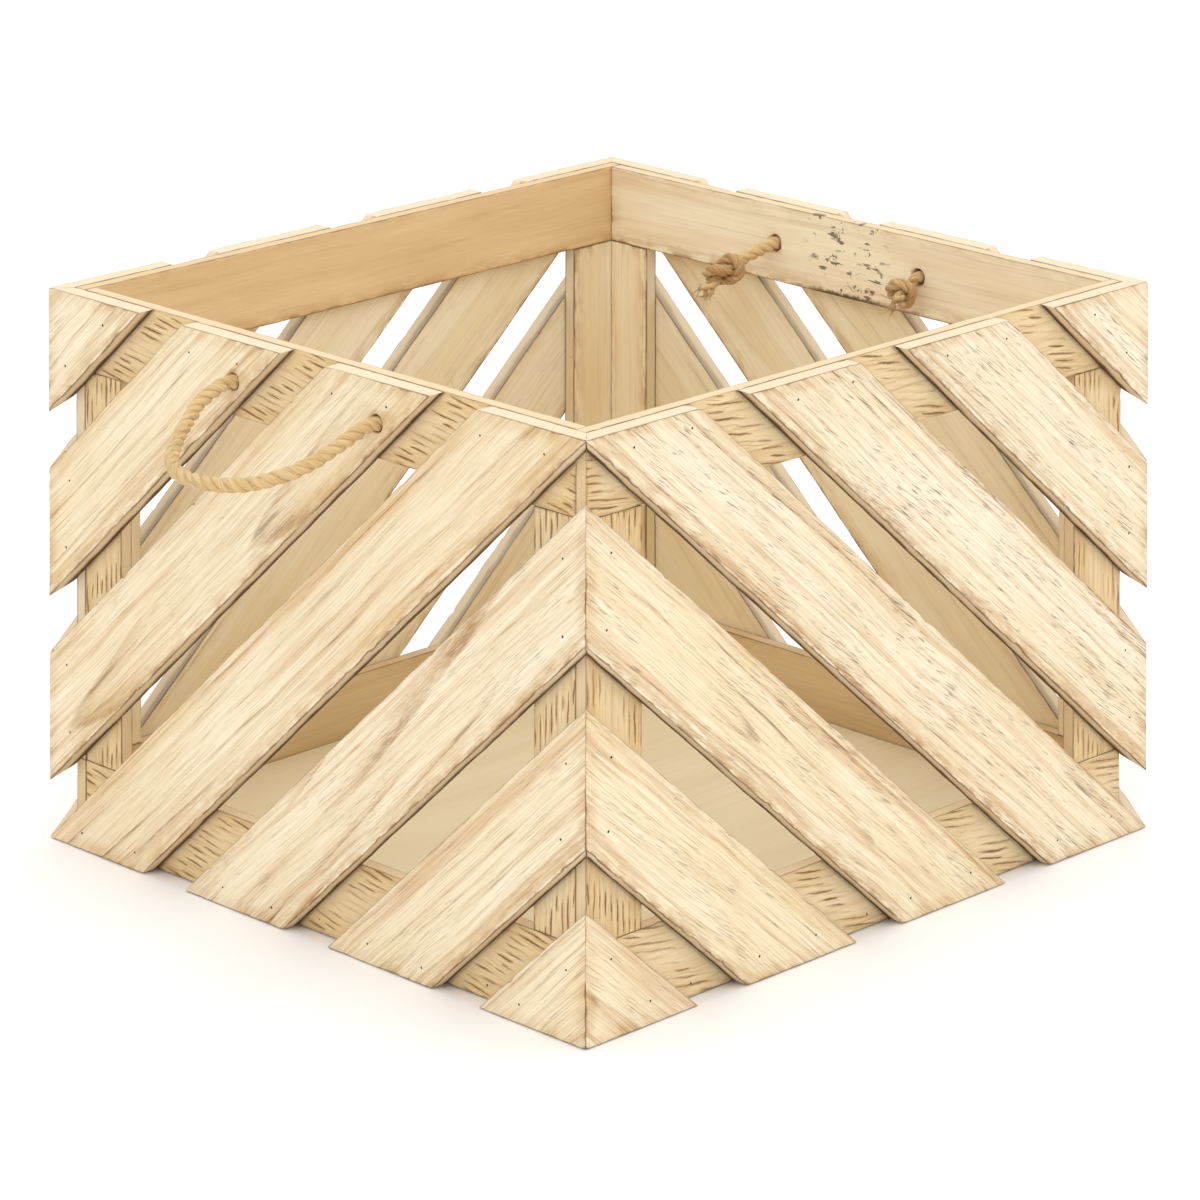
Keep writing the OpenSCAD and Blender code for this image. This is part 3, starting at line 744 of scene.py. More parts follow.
        # plain dark scuffs in one place
        st = g.attr("stain", False)
        c1 = g.noise(g.comb(g.mul(s, 1 / 15.0), g.mul(t, 1 / 3.4), 21.0), 1, 2, 0.6)
        c2 = g.noise(g.comb(g.mul(s, 1 / 6.0), g.mul(t, 1 / 7.0), 27.0), 1, 4, 0.65)
        c3 = g.noise(g.comb(g.mul(s, 1 / 11), g.mul(t, 1 / 8), 2.0), 1, 1, 0.5)
        marks = g.mul(g.m("MAXIMUM", g.step(c1, 0.575, 0.61), g.step(c2, 0.585, 0.63)), g.mul(g.step(c3, 0.44, 0.54), g.step(st, 0.05, 0.5)))
        col = g.mix(g.mul(marks, 0.82), col, lin("#56452f"))
        col = g.mix(g.mul(g.mul(g.mul(g.step(st, 0.1, 0.6), low), g.step(g.add(ed, g.mul(g.sub(c2, 0.5), 9.0)), 3.4, 1.0)), 0.85), col, lin("#463220"))
    spots = g.noise(g.comb(g.add(g.mul(s, 1 / 2.4), o3), g.add(g.mul(t, 1 / 1.6), o2), g.mul(n, 0.5)), 1, 1, 0.5)
    col = g.mix(g.mul(g.step(spots, 0.80, 0.86), 0.5), col, burn)
    sawm = g.noise(g.comb(g.add(g.mul(s, 1 / 1.9), o1), g.add(g.mul(t, 1 / 40), o2), 2.0), 1, 1, 0.5)
    height = g.add(height, g.mul(sawm, saw))
    g.put(g.bsdf.inputs["Base Color"], col)
    g.put(g.bsdf.inputs["Roughness"], g.add(rough, g.mul(g.sub(fib, 0.5), 0.25)))
    g.bsdf.inputs["Specular IOR Level"].default_value = 0.25
    g.put(g.bsdf.inputs["Normal"], g.bump(height, 0.6, 0.00025))
    return g.mat


WINDOW = (EDGES[0][2] - EDGES[0][1]) / EDGES[0][2]
PALE = (lin("#f8ecce"), lin("#f2dfb8"))
GOLD = (lin("#e4c799"), lin("#dbba8a"))
SHADE = (lin("#f3e6c8"), lin("#ecdab2"))
MATS = {
    "slat_a": wood("slat_wood_a", lin("#f1e3c4"), lin("#e8d4a9"), lin("#bd9156"), lin("#64401f"), spacing=7.0, dash=0.45, contrast=1.0, inner=SHADE),
    "slat_b": wood("slat_wood_b", lin("#f1e3c4"), lin("#e9d5a9"), lin("#b88c54"), lin("#5a391d"), spacing=5.6, dash=0.95, contrast=0.95, slant=0.10, inner=SHADE),
    "frame": wood("frame_wood", lin("#ebd2a4"), lin("#e2c592"), lin("#b58a54"), lin("#654224"), spacing=5.4, dash=0.35, contrast=0.7, inner=PALE, charred=1.0, edge_burn=0.7, rough=0.58, fibre=0.7),
    # bottom rails of the right and back walls: the frame wood with darker inner faces, painted shade deep inside the
    # crate
    "rail_deep": wood("rail_wood_deep", lin("#ebd2a4"), lin("#e2c592"), lin("#b58a54"), lin("#654224"), spacing=8.5, dash=0.30, contrast=0.6, inner=(lin("#dcc39a"), lin("#cdb286")), charred=1.0, edge_burn=0.7, rough=0.55, fibre=0.7),
    "rail_gold": wood("rail_wood_gold", lin("#ebd2a4"), lin("#e2c592"), lin("#c0935a"), lin("#6b4526"), spacing=8.5, dash=0.30, contrast=0.5, inner=GOLD, charred=1.0, edge_burn=0.7, rough=0.5, fibre=0.6),
    "floor": wood("floor_sheet_wood", lin("#dacaa0"), lin("#d2c092"), lin("#c4ad7e"), lin("#7b6038"), spacing=12.0, dash=0.12, contrast=0.25, edge_burn=0.4, rough=0.55, pale=0.1, saw=0.05, fibre=0.10, figure=0.25),
}

# ---------------------------------------------------------------- slats


def slat_board(k, i):
    name = f"slat_{WALLS[k]}_{i}"
    a = wall_len(k)
    s, v, p, z4 = EDGES[k]
    th = math.atan(s)
    c, sn = math.cos(th), math.sin(th)
    z0 = z4 + (4 - i) * p
    w = v * c

    def outline(n):
        # corners of the slat in (u, z), then in (s, t) along and across the grain
        poly = [(-60.0, z0 - 60 * s), (a + 60.0, z0 + (a + 60) * s), (a + 60.0, z0 + v + (a + 60) * s), (-60.0, z0 + v - 60 * s)]
        poly = clip(poly, 0, -1, 0.0)
        poly = clip(poly, 0, 1, CRATE_H)
        poly = clip(poly, -1, 0, -n)
        poly = clip(poly, 1, 0, a - n)
        return [((u) * c + (z - z0) * sn, -(u) * sn + (z - z0) * c) for u, z in poly]

    def place(S, T, N):
        u = S * c - T * sn
        z = S * sn + T * c + z0
        # uneven edges never pass the cuts at the rim, the base and the mitres
        return from_wall(k, np.clip(u, N + 0.02, a - N - 0.02), N, np.clip(z, 0.02, CRATE_H - 0.02))

    holes = []
    box_lo, box_hi = None, None
    if k % 2 == 1 and i in (2, 3):
        for hu in HOLES_U:
            hz = HOLE_Z
            S_, T_ = hu * c + (hz - z0) * sn, -hu * sn + (hz - z0) * c
            if 4 < T_ < w - 4:
                holes.append((S_, T_, HOLE_R))
    ob = board(name + "_board", outline, SLAT_T, place, step=3.2, tstep=3.3, round_r=0.7, holes=holes, rough=0.28, chips=0.8, nsteps=(0.3, 0.8, 2.6))
    ob.data.materials.append(MATS["slat_b" if k % 2 == 0 else "slat_a"])
    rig.ride(ob, "crate")
    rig.replaces(ob, name)
    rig.slot(ob, "slat_wood")
    return ob


_lo, _hi = node_box("rope_end_left_a")
_lo2, _hi2 = node_box("rope_end_left_b")
HOLE_Z = (_lo[2] + _hi[2]) / 2
_ya, _yb = (_lo[1] + _hi[1]) / 2, (_lo2[1] + _hi2[1]) / 2
HOLES_U = sorted([CRATE_D / 2 - _ya, CRATE_D / 2 - _yb])
HOLE_R = 4.8


def gap_fn(k, frame_kind):
    """How far inside the bare gap between two slats a point of a frame piece lies, in mm; 0 behind a slat or on other faces."""
    s, v, p, z4 = EDGES[k]
    c = math.cos(math.atan(s))

    def fn(u, z, n):
        q = np.mod(z - s * u - (z4 + v), p)
        width = p - v
        d = np.minimum(q, width - q) * c
        return np.where((q < width) & (n < 1.5), np.clip(d, 0, None), 0.0)

    return fn


def frame_board(name, k, u0, u1, z0, z1, upright, mat):
    fn = gap_fn(k, None)
    sl, v, p, z4 = EDGES[k]
    line = lambda u, z: (z - sl * u - (z4 + v)) / p + 10
    stain = None
    if upright:
        outline = lambda n: [(z0, u0), (z1, u0), (z1, u1), (z0, u1)]
        place = lambda S, T, N: from_wall(k, T, SLAT_T + N, S)
        exposed = lambda S, T, N: fn(T, S, N)
        rows = lambda S, T: line(T, S)
        holes = ()
    else:
        outline = lambda n: [(u0, z0), (u1, z0), (u1, z1), (u0, z1)]
        place = lambda S, T, N: from_wall(k, S, SLAT_T + N, T)
        exposed = lambda S, T, N: fn(S, T, N)
        rows = lambda S, T: line(S, T)
        holes = [(hu, HOLE_Z, HOLE_R) for hu in HOLES_U] if (k % 2 == 1 and z0 > CRATE_H / 2) else ()
        if name == "rail_top_right":
            mid = (HOLES_U[0] + HOLES_U[1]) / 2
            stain = lambda S, T, N: np.clip(1.15 - np.abs(S - mid + 2) / 34, 0, 1) * (N > FRAME_T / 2)
    ob = board(name + "_board", outline, FRAME_T, place, step=3.4, tstep=3.4, round_r=0.5, holes=holes, rough=0.16, chips=0.35, exposed=exposed, rows=rows, stain=stain, tilt=0.0 if upright else (0.16 if k % 2 else -0.16), nsteps=(0.3, 0.8, 2.0))
    ob.data.materials.append(MATS[mat])
    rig.ride(ob, "crate")
    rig.replaces(ob, name)
    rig.slot(ob, "frame_wood")
    return ob


for k in range(4):
    for i in range(1, 8):
        slat_board(k, i)
    a = wall_len(k)
    x0 = SLAT_T if k % 2 == 0 else RIM_T
    lo, hi = node_box(f"stile_{WALLS[k]}_left")
    u_lo, _, _ = to_wall(k, np.array([lo, hi]))
    w = abs(u_lo[1] - u_lo[0])
    if k % 2 == 1:
        w = hi[1] - lo[1]
    lefts, rights = ((x0, x0 + w), (a - x0 - w, a - x0))
    if k % 2 == 0:
        lefts, rights = rights, lefts
    gold = "rail_gold" if k in (2,) else "frame"
    # bottom rails of the right and back walls take the material with painted shade on their inner faces
    deep = "rail_deep" if k in (1, 2) else "frame"
    frame_board(f"rail_top_{WALLS[k]}", k, x0, a - x0, CRATE_H - RAIL_H, CRATE_H, False, gold)
    frame_board(f"rail_bottom_{WALLS[k]}", k, x0, a - x0, 0, RAIL_H, False, deep)
    frame_board(f"stile_{WALLS[k]}_left", k, lefts[0], lefts[1], RAIL_H, CRATE_H - RAIL_H, True, "frame")
    frame_board(f"stile_{WALLS[k]}_right", k, rights[0], rights[1], RAIL_H, CRATE_H - RAIL_H, True, "frame")

# ---------------------------------------------------------------- floor sheet

lo, hi = node_box("floor_panel")
fl = board(
    "floor_sheet",
    lambda n: [(lo[0], lo[1]), (hi[0], lo[1]), (hi[0], hi[1]), (lo[0], hi[1])],
    hi[2] - lo[2],
    lambda S, T, N: np.stack([S, T, hi[2] - N], -1) * MM,
    step=7.0,
    tstep=7.0,
    round_r=0.3,
    rough=0.10,
    chips=0.1,
)
fl.data.materials.append(MATS["floor"])
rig.ride(fl, "crate")
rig.replaces(fl, "floor_panel")
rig.slot(fl, "floor_board")

# ---------------------------------------------------------------- brads


def brad_material():
    g = Nodes("brad_steel")
    tc = g.new("ShaderNodeTexCoord")
    nz = g.noise(tc.outputs["Object"], 2600, 3, 0.6)
    col = g.ramp(nz, [(0.3, lin("#2a221c")), (0.55, lin("#4b3d31")), (0.75, lin("#6d4a2f"))])
    g.put(g.bsdf.inputs["Base Color"], col)
    g.bsdf.inputs["Metallic"].default_value = 0.75
    g.put(g.bsdf.inputs["Roughness"], g.step(nz, 0.2, 0.8, 0.35, 0.75))
    g.put(g.bsdf.inputs["Normal"], g.bump(nz, 0.4, 0.0001))
    return g.mat


BRAD = brad_material()


def islands(mesh):
    parent = list(range(len(mesh.vertices)))

    def find(x):
        while parent[x] != x:
            parent[x] = parent[parent[x]]
            x = parent[x]
        return x

    for e in mesh.edges:
        a, b = find(e.vertices[0]), find(e.vertices[1])
        if a != b:
            parent[a] = b
    co = np.array([v.co for v in mesh.vertices])
    # vertices that lie at one place belong together
    seen = {}
    for i, c in enumerate(np.round(co / 1e-5).astype(int)):
        key = tuple(c)
        if key in seen:
            a, b = find(seen[key]), find(i)
            if a != b:
                parent[a] = b
        else:
            seen[key] = i
    groups = {}
    for i in range(len(co)):
        groups.setdefault(find(i), []).append(i)
    return [co[g] for g in groups.values()]


def brads(name):
    node = frame["nodes"][name]
    verts, faces = [], []
    seg = 14
    for pts in islands(node.data):
        lo, hi = pts.min(0), pts.max(0)
        size = hi - lo
        ax = int(np.argmax(size))
        c = (lo + hi) / 2
        outward = 1.0 if c[ax] > 0 else -1.0
        start = hi[ax] if outward > 0 else lo[ax]
        length = size[ax] / MM
        rr = 0.5 * np.sort(size)[0] / MM
        jitter = 0.92 + 0.16 * float(hash01(c[0] * 977, c[1] * 613, c[2] * 331))
        # (depth from the outer end, radius): slightly domed head, shank, point
        prof = [(0.02, 0.0), (0.02, 0.42 * rr), (0.05, 0.80 * rr), (0.12, 0.98 * rr * jitter), (0.42, 0.98 * rr * jitter), (0.55, 0.92 * rr), (length - 1.6, 0.92 * rr), (length - 0.1, 0.12 * rr)]
        base = len(verts)
        o1, o2 = [x for x in range(3) if x != ax]
        tip = c.copy()
        tip[ax] = start - outward * prof[0][0] * MM
        verts.append(tuple(tip))
        for d, r in prof[1:]:
            for j in range(seg):
                a = 2 * math.pi * j / seg
                p = c.copy()
                p[ax] = start - outward * d * MM
                p[o1] += r * math.cos(a) * MM
                p[o2] += r * math.sin(a) * MM
                verts.append(tuple(p))
        last = len(verts)
        end = c.copy()
        end[ax] = start - outward * (length - 0.05) * MM
        verts.append(tuple(end))
        rings = len(prof) - 1
        flip = (outward > 0) == (ax == 1)
        fs = []
        for j in range(seg):
            fs.append((base, base + 1 + j, base + 1 + (j + 1) % seg))
            for q in range(rings - 1):
                a0 = base + 1 + q * seg
                fs.append((a0 + j, a0 + seg + j, a0 + seg + (j + 1) % seg, a0 + (j + 1) % seg))
            a0 = base + 1 + (rings - 1) * seg
            fs.append((a0 + j, last, a0 + (j + 1) % seg))
        # orient outwards
        p = [np.array(verts[x]) for x in fs[0]]
        nrm = np.cross(p[1] - p[0], p[2] - p[0])
        if nrm[ax] * outward < 0:
            fs = [tuple(reversed(f)) for f in fs]
        faces += fs
    mesh = bpy.data.meshes.new(name + "_set")
    mesh.from_pydata(verts, [], faces)
    mesh.update()
    mesh.shade_smooth()
    ob = bpy.data.objects.new(name + "_set", mesh)
    bpy.context.scene.collection.objects.link(ob)
    ob.data.materials.append(BRAD)
    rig.ride(ob, "crate")
    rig.replaces(ob, name)
    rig.slot(ob, "brad_steel")


for nm in ("brads_front", "brads_right", "brads_back", "brads_left", "floor_brads"):
    brads(nm)

# ---------------------------------------------------------------- ropes

ROPE_R = 4.0
STRAND_R = 2.06
STRAND_OFF = 1.90
LAY = 19.5


def resample(p, step):
    d = np.r_[0, np.cumsum(np.linalg.norm(np.diff(p, axis=0), axis=1))]
    n = max(2, int(round(d[-1] / step)) + 1)
    q = np.linspace(0, d[-1], n)
    return np.stack([np.interp(q, d, p[:, i]) for i in range(3)], -1)


def smooth(p, times, keep=1):
    p = p.copy()
    for _ in range(times):
        m = (p[:-2] + p[2:]) / 2
        p[keep : len(p) - keep] += 0.5 * (m[keep - 1 : len(m) - keep + 1] - p[keep : len(p) - keep])
    return p


def overhand(dia, reach=34.0, step=1.15):
    """Centre line of a tight overhand knot in a rope of diameter `dia`: an open knot is drawn shorter and shorter until
    the rope lies against itself everywhere. It comes in along +X to the origin; returns points in millimetres."""
    t = np.linspace(2.12, -2.12, 420)
    x, y, z = t**3 - 3 * t, t**4 - 4 * t**2, t**5 - 10 * t
    p = np.stack([x * 5.6, y * 4.5, z * 0.85], -1)
    if p[0][0] > p[-1][0]:
        p = p[::-1]
    p = resample(np.vstack([[-reach, 0.0, 0.0], p, [reach, 0.0, 0.0]]), step)
    for it in range(1500):
        p[1:-1] += 0.5 * ((p[:-2] + p[2:]) / 2 - p[1:-1])
        i = np.arange(len(p))
        far = np.abs(i[:, None] - i[None, :]) * step > dia * 1.5
        for _ in range(2):
            d = p[:, None, :] - p[None, :, :]
            dist = np.sqrt((d * d).sum(-1)) + 1e-9
            hit = (dist < dia) & far
            w = np.where(hit, (dia - dist) / dist, 0.0)
            move = 0.8 * (w[:, :, None] * d).sum(1) / np.maximum(hit.sum(1), 1)[:, None]
            move[0] = move[-1] = 0
            p = p + move
        if it % 6 == 5:
            p = resample(p, step)
    # keep the knot itself: from where the rope first turns by ten degrees to where it last does
    tan = np.diff(p, axis=0)
    tan /= np.linalg.norm(tan, axis=1)[:, None]
    turned_in = np.where(tan @ tan[1] < math.cos(math.radians(10)))[0].min()
    turned_out = np.where(tan @ tan[-2] < math.cos(math.radians(10)))[0].max()
    i0, i1 = max(turned_in - 2, 0), min(turned_out + 3, len(p) - 1)
    body = p[i0 : i1 + 1] - p[i0]
    # lay the way in along +X
    fwd = tan[max(i0 - 1, 0)]
    side = np.cross(np.array([0.0, 0.0, 1.0]), fwd)
    side /= np.linalg.norm(side)
    upv = np.cross(fwd, side)
    return body @ np.stack([fwd, side, upv], -1)


KNOT_SQUEEZE = 0.84
KNOT = overhand(2 * ROPE_R * KNOT_SQUEEZE * 0.93)


def frames_along(p):
    """Turning-free frames along a path."""
    tan = np.gradient(p, axis=0)
    tan /= np.linalg.norm(tan, axis=1)[:, None]
    up = np.array([0.0, 0.0, 1.0]) if abs(tan[0][2]) < 0.9 else np.array([0.0, 1.0, 0.0])
    n = np.cross(tan[0], up)
    n /= np.linalg.norm(n)
    ns = [n]
    for i in range(1, len(p)):
        n = ns[-1] - tan[i] * np.dot(ns[-1], tan[i])
        n /= np.linalg.norm(n)
        ns.append(n)
    ns = np.array(ns)
    return tan, ns, np.cross(tan, ns)


def tube(verts, faces, data, path, radii, seg, tag, lobes=0.0):
    """A closed tube with rounded ends along a path, in millimetres."""
    tan, nx, ny = frames_along(path)
    d = np.r_[0, np.cumsum(np.linalg.norm(np.diff(path, axis=0), axis=1))]
    base = len(verts)
    m = len(path)
    ang = np.arange(seg) * 2 * math.pi / seg
    for i in range(m):
        for a in ang:
            verts.append(tuple(path[i] + radii[i] * (math.cos(a) * nx[i] + math.sin(a) * ny[i])))
            data.append((d[i], a, tag))
    c0 = len(verts)
    verts.append(tuple(path[0] - tan[0] * radii[0] * 0.5))
    data.append((d[0], 0.0, tag))
    verts.append(tuple(path[-1] + tan[-1] * radii[-1] * 0.5))
    data.append((d[-1], 0.0, tag))
    for i in range(m - 1):
        for j in range(seg):
            k = (j + 1) % seg
            faces.append((base + i * seg + j, base + i * seg + k, base + (i + 1) * seg + k, base + (i + 1) * seg + j))
    for j in range(seg):
        k = (j + 1) % seg
        faces.append((c0, base + k, base + j))
        e = base + (m - 1) * seg
        faces.append((c0 + 1, e + j, e + k))


def rope_material():
    g = Nodes("rope_fibre")
    l, a, tag = g.sep(g.attr("rp"))
    knot = g.attr("kn", False)
    # fibres wind round each strand against the lay of the rope
    wind = g.add(g.mul(a, 1.0), g.mul(l, -0.38))
    cx, sx = g.m("COSINE", wind), g.m("SINE", wind)
    f1 = g.noise(g.comb(g.mul(cx, 6.5), g.mul(sx, 6.5), g.add(g.mul(l, 0.045), g.mul(tag, 3.7))), 1, 3, 0.65)
    f2 = g.noise(g.comb(g.mul(cx, 15.0), g.mul(sx, 15.0), g.add(g.mul(l, 0.10), tag)), 1, 2, 0.6)
    slow = g.noise(g.comb(g.mul(l, 1 / 22), g.mul(tag, 5.1), 0.0), 1, 2, 0.5)
    col = g.ramp(f1, [(0.25, lin("#ac8446")), (0.42, lin("#cfaa6c")), (0.58, lin("#e3c68e")), (0.78, lin("#f2e0b8"))])
    col = g.mix(g.step(f2, 0.54, 0.78, 0.0, 0.42), col, lin("#94682f"))
    col = g.mix(g.step(slow, 0.35, 0.7, 0.0, 0.35), col, lin("#edd3a4"))
    # painted shade: the knots are coloured darker, most in the crevices where the rope folds into itself
    col = g.mix(g.mul(knot, 0.40), col, lin("#b98240"))
    col = g.mix(g.mul(g.mul(knot, g.step(f1, 0.58, 0.36)), 0.75), col, lin("#8a5528"))
    g.put(g.bsdf.inputs["Base Color"], col)
    g.bsdf.inputs["Roughness"].default_value = 0.78
    g.bsdf.inputs["Specular IOR Level"].default_value = 0.18
    g.bsdf.inputs["Sheen Weight"].default_value = 0.25
    g.bsdf.inputs["Sheen Roughness"].default_value = 0.5
    g.put(g.bsdf.inputs["Normal"], g.bump(g.add(f1, g.mul(f2, 0.6)), 0.85, 0.00045))
    return g.mat


ROPE_MAT = rope_material()


def knot_path(knot_at, turn, mirror):
    """The knot in (n, side, z) relative to the hole: its near face stands knot_at millimetres in from the outer face."""
    body = KNOT.copy()
    body[:, 0] += knot_at + ROPE_R * KNOT_SQUEEZE - body[:, 0].min()
    if mirror:
        body[:, 1] *= -1
    c, s = math.cos(turn), math.sin(turn)
    y, z = body[:, 1].copy(), body[:, 2].copy()
    body[:, 1], body[:, 2] = c * y - s * z, s * y + c * z
    return body


def rope(side_name, k):
    """One rope, from frayed tip to frayed tip, in the wall's own (u, n, z) millimetres."""
    hus = HOLES_U
    ends = []
    for letter, hu in zip("ab", hus):
        lo, hi = node_box(f"rope_end_{side_name}_{letter}")
        pts = np.array([lo, hi])
        u, n, z = to_wall(k, pts)
        ends.append((hu, max(n)))
    lo, hi = node_box(f"rope_loop_{side_name}")
    u, n, z = to_wall(k, np.array([lo, hi]))
    out_n, low_z = min(n), min(z)
    r = (HOLES_U[1] - HOLES_U[0]) / 2
    # pivot line, read from the joint
    joint = [j for j in frame["joints"] if j["name"] == f"{side_name}_handle_swing"][0]
    pu, pn, pz = to_wall(k, np.array([joint["pos_m"]]) / MM)
    pn, pz = float(pn[0]), float(pz[0])
    reach_n, drop = -(out_n + ROPE_R) + pn, pz - (low_z + ROPE_R)
    reach = math.hypot(reach_n, drop)
    tilt = math.atan2(drop, reach_n)
    side_len = reach - r
    seed = 3.0 if side_name == "left" else 8.0
    # loop in its own plane: (w, d)
    loop = [(-r, d) for d in np.linspace(0, side_len, 12)[:-1]] + [(-r * math.cos(a), side_len + r * math.sin(a)) for a in np.linspace(0, math.pi, 80)] + [(r, d) for d in np.linspace(side_len, 0, 12)[1:]]
    loop = np.array(loop)
    mid_u = (HOLES_U[0] + HOLES_U[1]) / 2
    L = np.stack([mid_u + loop[:, 0], pn - loop[:, 1] * math.cos(tilt), pz - loop[:, 1] * math.sin(tilt)], -1)
    # a natural rope is never a perfect arc
    q = np.linspace(0, 1, len(L))
    fade = np.clip(loop[:, 1] / 25, 0, 1) ** 2
    L[:, 0] += fade * 1.3 * np.sin(q * 9.1 + seed) + fade * 8.5 * np.exp(-(((q - 0.27) / 0.14) ** 2))
    L[:, 1] += fade * 0.6 * np.sin(q * 13.0 + seed * 2)
    L[:, 2] += fade * (0.9 * np.sin(q * 11.0 + seed * 3) - 0.6)
    paths = []
    heads = []
    centres = []
    for e, (hu, tip) in enumerate(ends):
        near_face = tip - 28 + 0.8  # the CAD knot is 18 long and the tip reaches 10 past it
        turn = {("left", 0): 2.4, ("left", 1): 4.4, ("right", 0): 3.6, ("right", 1): 1.7}[(side_name, e)]
        body = knot_path(near_face, turn, e == 1)
        lead = body[0]
        direction = body[-1] - body[-4]
        direction /= np.linalg.norm(direction)
        free = np.array([body[-1] + direction * x + np.array([0.08 * x * x, 0, -0.05 * x * x]) for x in (1.0, 2.0, 3.0, 4.0, 5.0)])
        x0 = pn + 2.0
        run = np.array([[x, 0, 0] for x in np.arange(x0, max(lead[0] - 3.0, x0 + 0.5), 1.5)])
        line = resample(np.vstack([run, body, free]), 1.0)
        line = smooth(line, 4)
        sag, reach_n = (4.5, 9.0) if near_face - RIM_T < 8 else (0.006 * 35**2, 35.0)
        hang = np.clip((line[:, 0] - RIM_T + 1.0) / reach_n, 0, 1.25)
        line[:, 2] -= sag * hang**1.6
        P = np.stack([hu + line[:, 1], line[:, 0], HOLE_Z + line[:, 2]], -1)
        paths.append(P)
        b0, b1 = int(round(run[-1][0] - run[0][0])), len(line) - 5
        centres.append(P[b1 - 26 : b1 - 4].mean(0))
        ii = np.arange(len(line))
        heads.append(np.clip((ii - b0 + 12) / 8.0, 0, 1) * np.clip((b1 - ii + 8) / 8.0, 0, 1))
    whole = np.vstack([paths[0][::-1], L, paths[1]])
    kn = np.r_[heads[0][::-1].astype(float), np.zeros(len(L)), heads[1].astype(float)]
    d0 = np.r_[0, np.cumsum(np.linalg.norm(np.diff(whole, axis=0), axis=1))]
    W = resample(whole, 1.15)
    W = smooth(W, 3)
    d = np.r_[0, np.cumsum(np.linalg.norm(np.diff(W, axis=0), axis=1))]
    kn = np.interp(d / d[-1], d0 / d0[-1], kn)
    tan, nx, ny = frames_along(W)
    verts, faces, data = [], [], []
    total = d[-1]
    spread = np.clip(1 - np.minimum(d, total - d) / 7.0, 0, 1) ** 1.5  # strands part at the tips
    for sidx in range(3):
        a = 2 * math.pi * (d / LAY) + sidx * 2 * math.pi / 3
        a = a + 0.10 * np.sin(d / 13 + sidx)
        tight = 1 - (1 - KNOT_SQUEEZE) * kn
        off = STRAND_OFF * (1 + 0.04 * np.sin(d / 7.3 + sidx * 2)) * tight + spread * 2.0
        path = W + off[:, None] * (np.cos(a)[:, None] * nx + np.sin(a)[:, None] * ny)
        rad = STRAND_R * (1 + 0.03 * np.sin(d / 5.1 + sidx * 4)) * tight * (1 - 0.4 * spread)
        tube(verts, faces, data, path, rad, 12, float(sidx))
        # loose fibres at both tips
        for tip_i, sign in ((0, -1), (len(W) - 1, 1)):
            for f in range(9):
                h = [float(hash01(seed * 7 + sidx * 3 + f * 1.7, tip_i + q, 5.0)) for q in range(6)]
                base = path[tip_i] + (np.array(h[:3]) - 0.5) * 1.8
                dirv = sign * tan[tip_i] + (np.array(h[3:6]) - 0.5) * 1.7
                dirv /= np.linalg.norm(dirv)
                bend = (np.array([h[4], h[0], h[2]]) - 0.55) * 0.9
                length = 3.5 + 6.0 * h[1]
                pts = np.array([base + dirv * length * x + bend * length * x * x * 0.6 for x in np.linspace(-0.25, 1, 7)])
                tube(verts, faces, data, pts, 0.30 * (1 - 0.75 * np.linspace(0, 1, 7)), 5, 4.0 + f)
    # a few stray hairs along the rope
    hairs = 150
    for hnum in range(hairs):
        h = [float(hash01(seed * 11 + hnum * 1.31, q * 2.7, 9.0)) for q in range(6)]
        i = int(h[0] * (len(W) - 30)) + 15
        a = h[1] * 2 * math.pi
        radial = math.cos(a) * nx[i] + math.sin(a) * ny[i]
        n_here = W[i][1]
        if -14 < n_here < RIM_T + 12:
            continue
        out = radial * (0.55 + 0.5 * h[2]) + tan[i] * (1.1 if h[3] > 0.5 else -1.1)
        out /= np.linalg.norm(out)
        base = W[i] + radial * (ROPE_R - 1.3)
        length = 2.0 + 1.6 * h[4]
        pts = np.array([base + out * length * x + (tan[i] * (h[5] - 0.5) * 1.4 - radial * 0.35) * length * x * x for x in np.linspace(0, 1, 6)])
        tube(verts, faces, data, pts, 0.10 * (1 - 0.6 * np.linspace(0, 1, 6)), 4, 20.0 + hnum % 5)
    V = np.array(verts)
    world = from_wall(k, V[:, 0], V[:, 1], V[:, 2])
    mesh = bpy.data.meshes.new(f"rope_{side_name}_handle")
    mesh.from_pydata(world.tolist(), [], faces)
    mesh.update()
    fix_normals(mesh)
    put(mesh, "rp", "FLOAT_VECTOR", np.array(data))
    dd = np.array(data)[:, 0]
    # painted shade: the strands are marked for a darker colour within about 13.5 mm of each knot's centre
    shade = np.max([np.clip((13.5 - np.linalg.norm(W - c, axis=1)) / 5, 0, 1) for c in centres], axis=0)
    tags = np.array(data)[:, 2]
    near = np.interp(dd / dd[tags < 3].max(), d / total, shade)
    put(mesh, "kn", "FLOAT", np.where(tags < 3, near, 0.5))
    mesh.shade_smooth()
    ob = bpy.data.objects.new(f"rope_{side_name}_handle", mesh)
    bpy.context.scene.collection.objects.link(ob)
    ob.data.materials.append(ROPE_MAT)
    start = from_wall(k, mid_u, pn + 5.5, pz)
    end = from_wall(k, mid_u, pn - 9.0 * math.cos(tilt), pz - 9.0 * math.sin(tilt))
    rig.blend(ob, f"{side_name}_rope_ends", f"{side_name}_handle", start=tuple(start), end=tuple(end))
    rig.replaces(ob, f"rope_end_{side_name}_a", f"rope_end_{side_name}_b", f"rope_loop_{side_name}")
    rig.slot(ob, "rope")
    return ob


rope("left", 3)
rope("right", 1)

# ---------------------------------------------------------------- stage


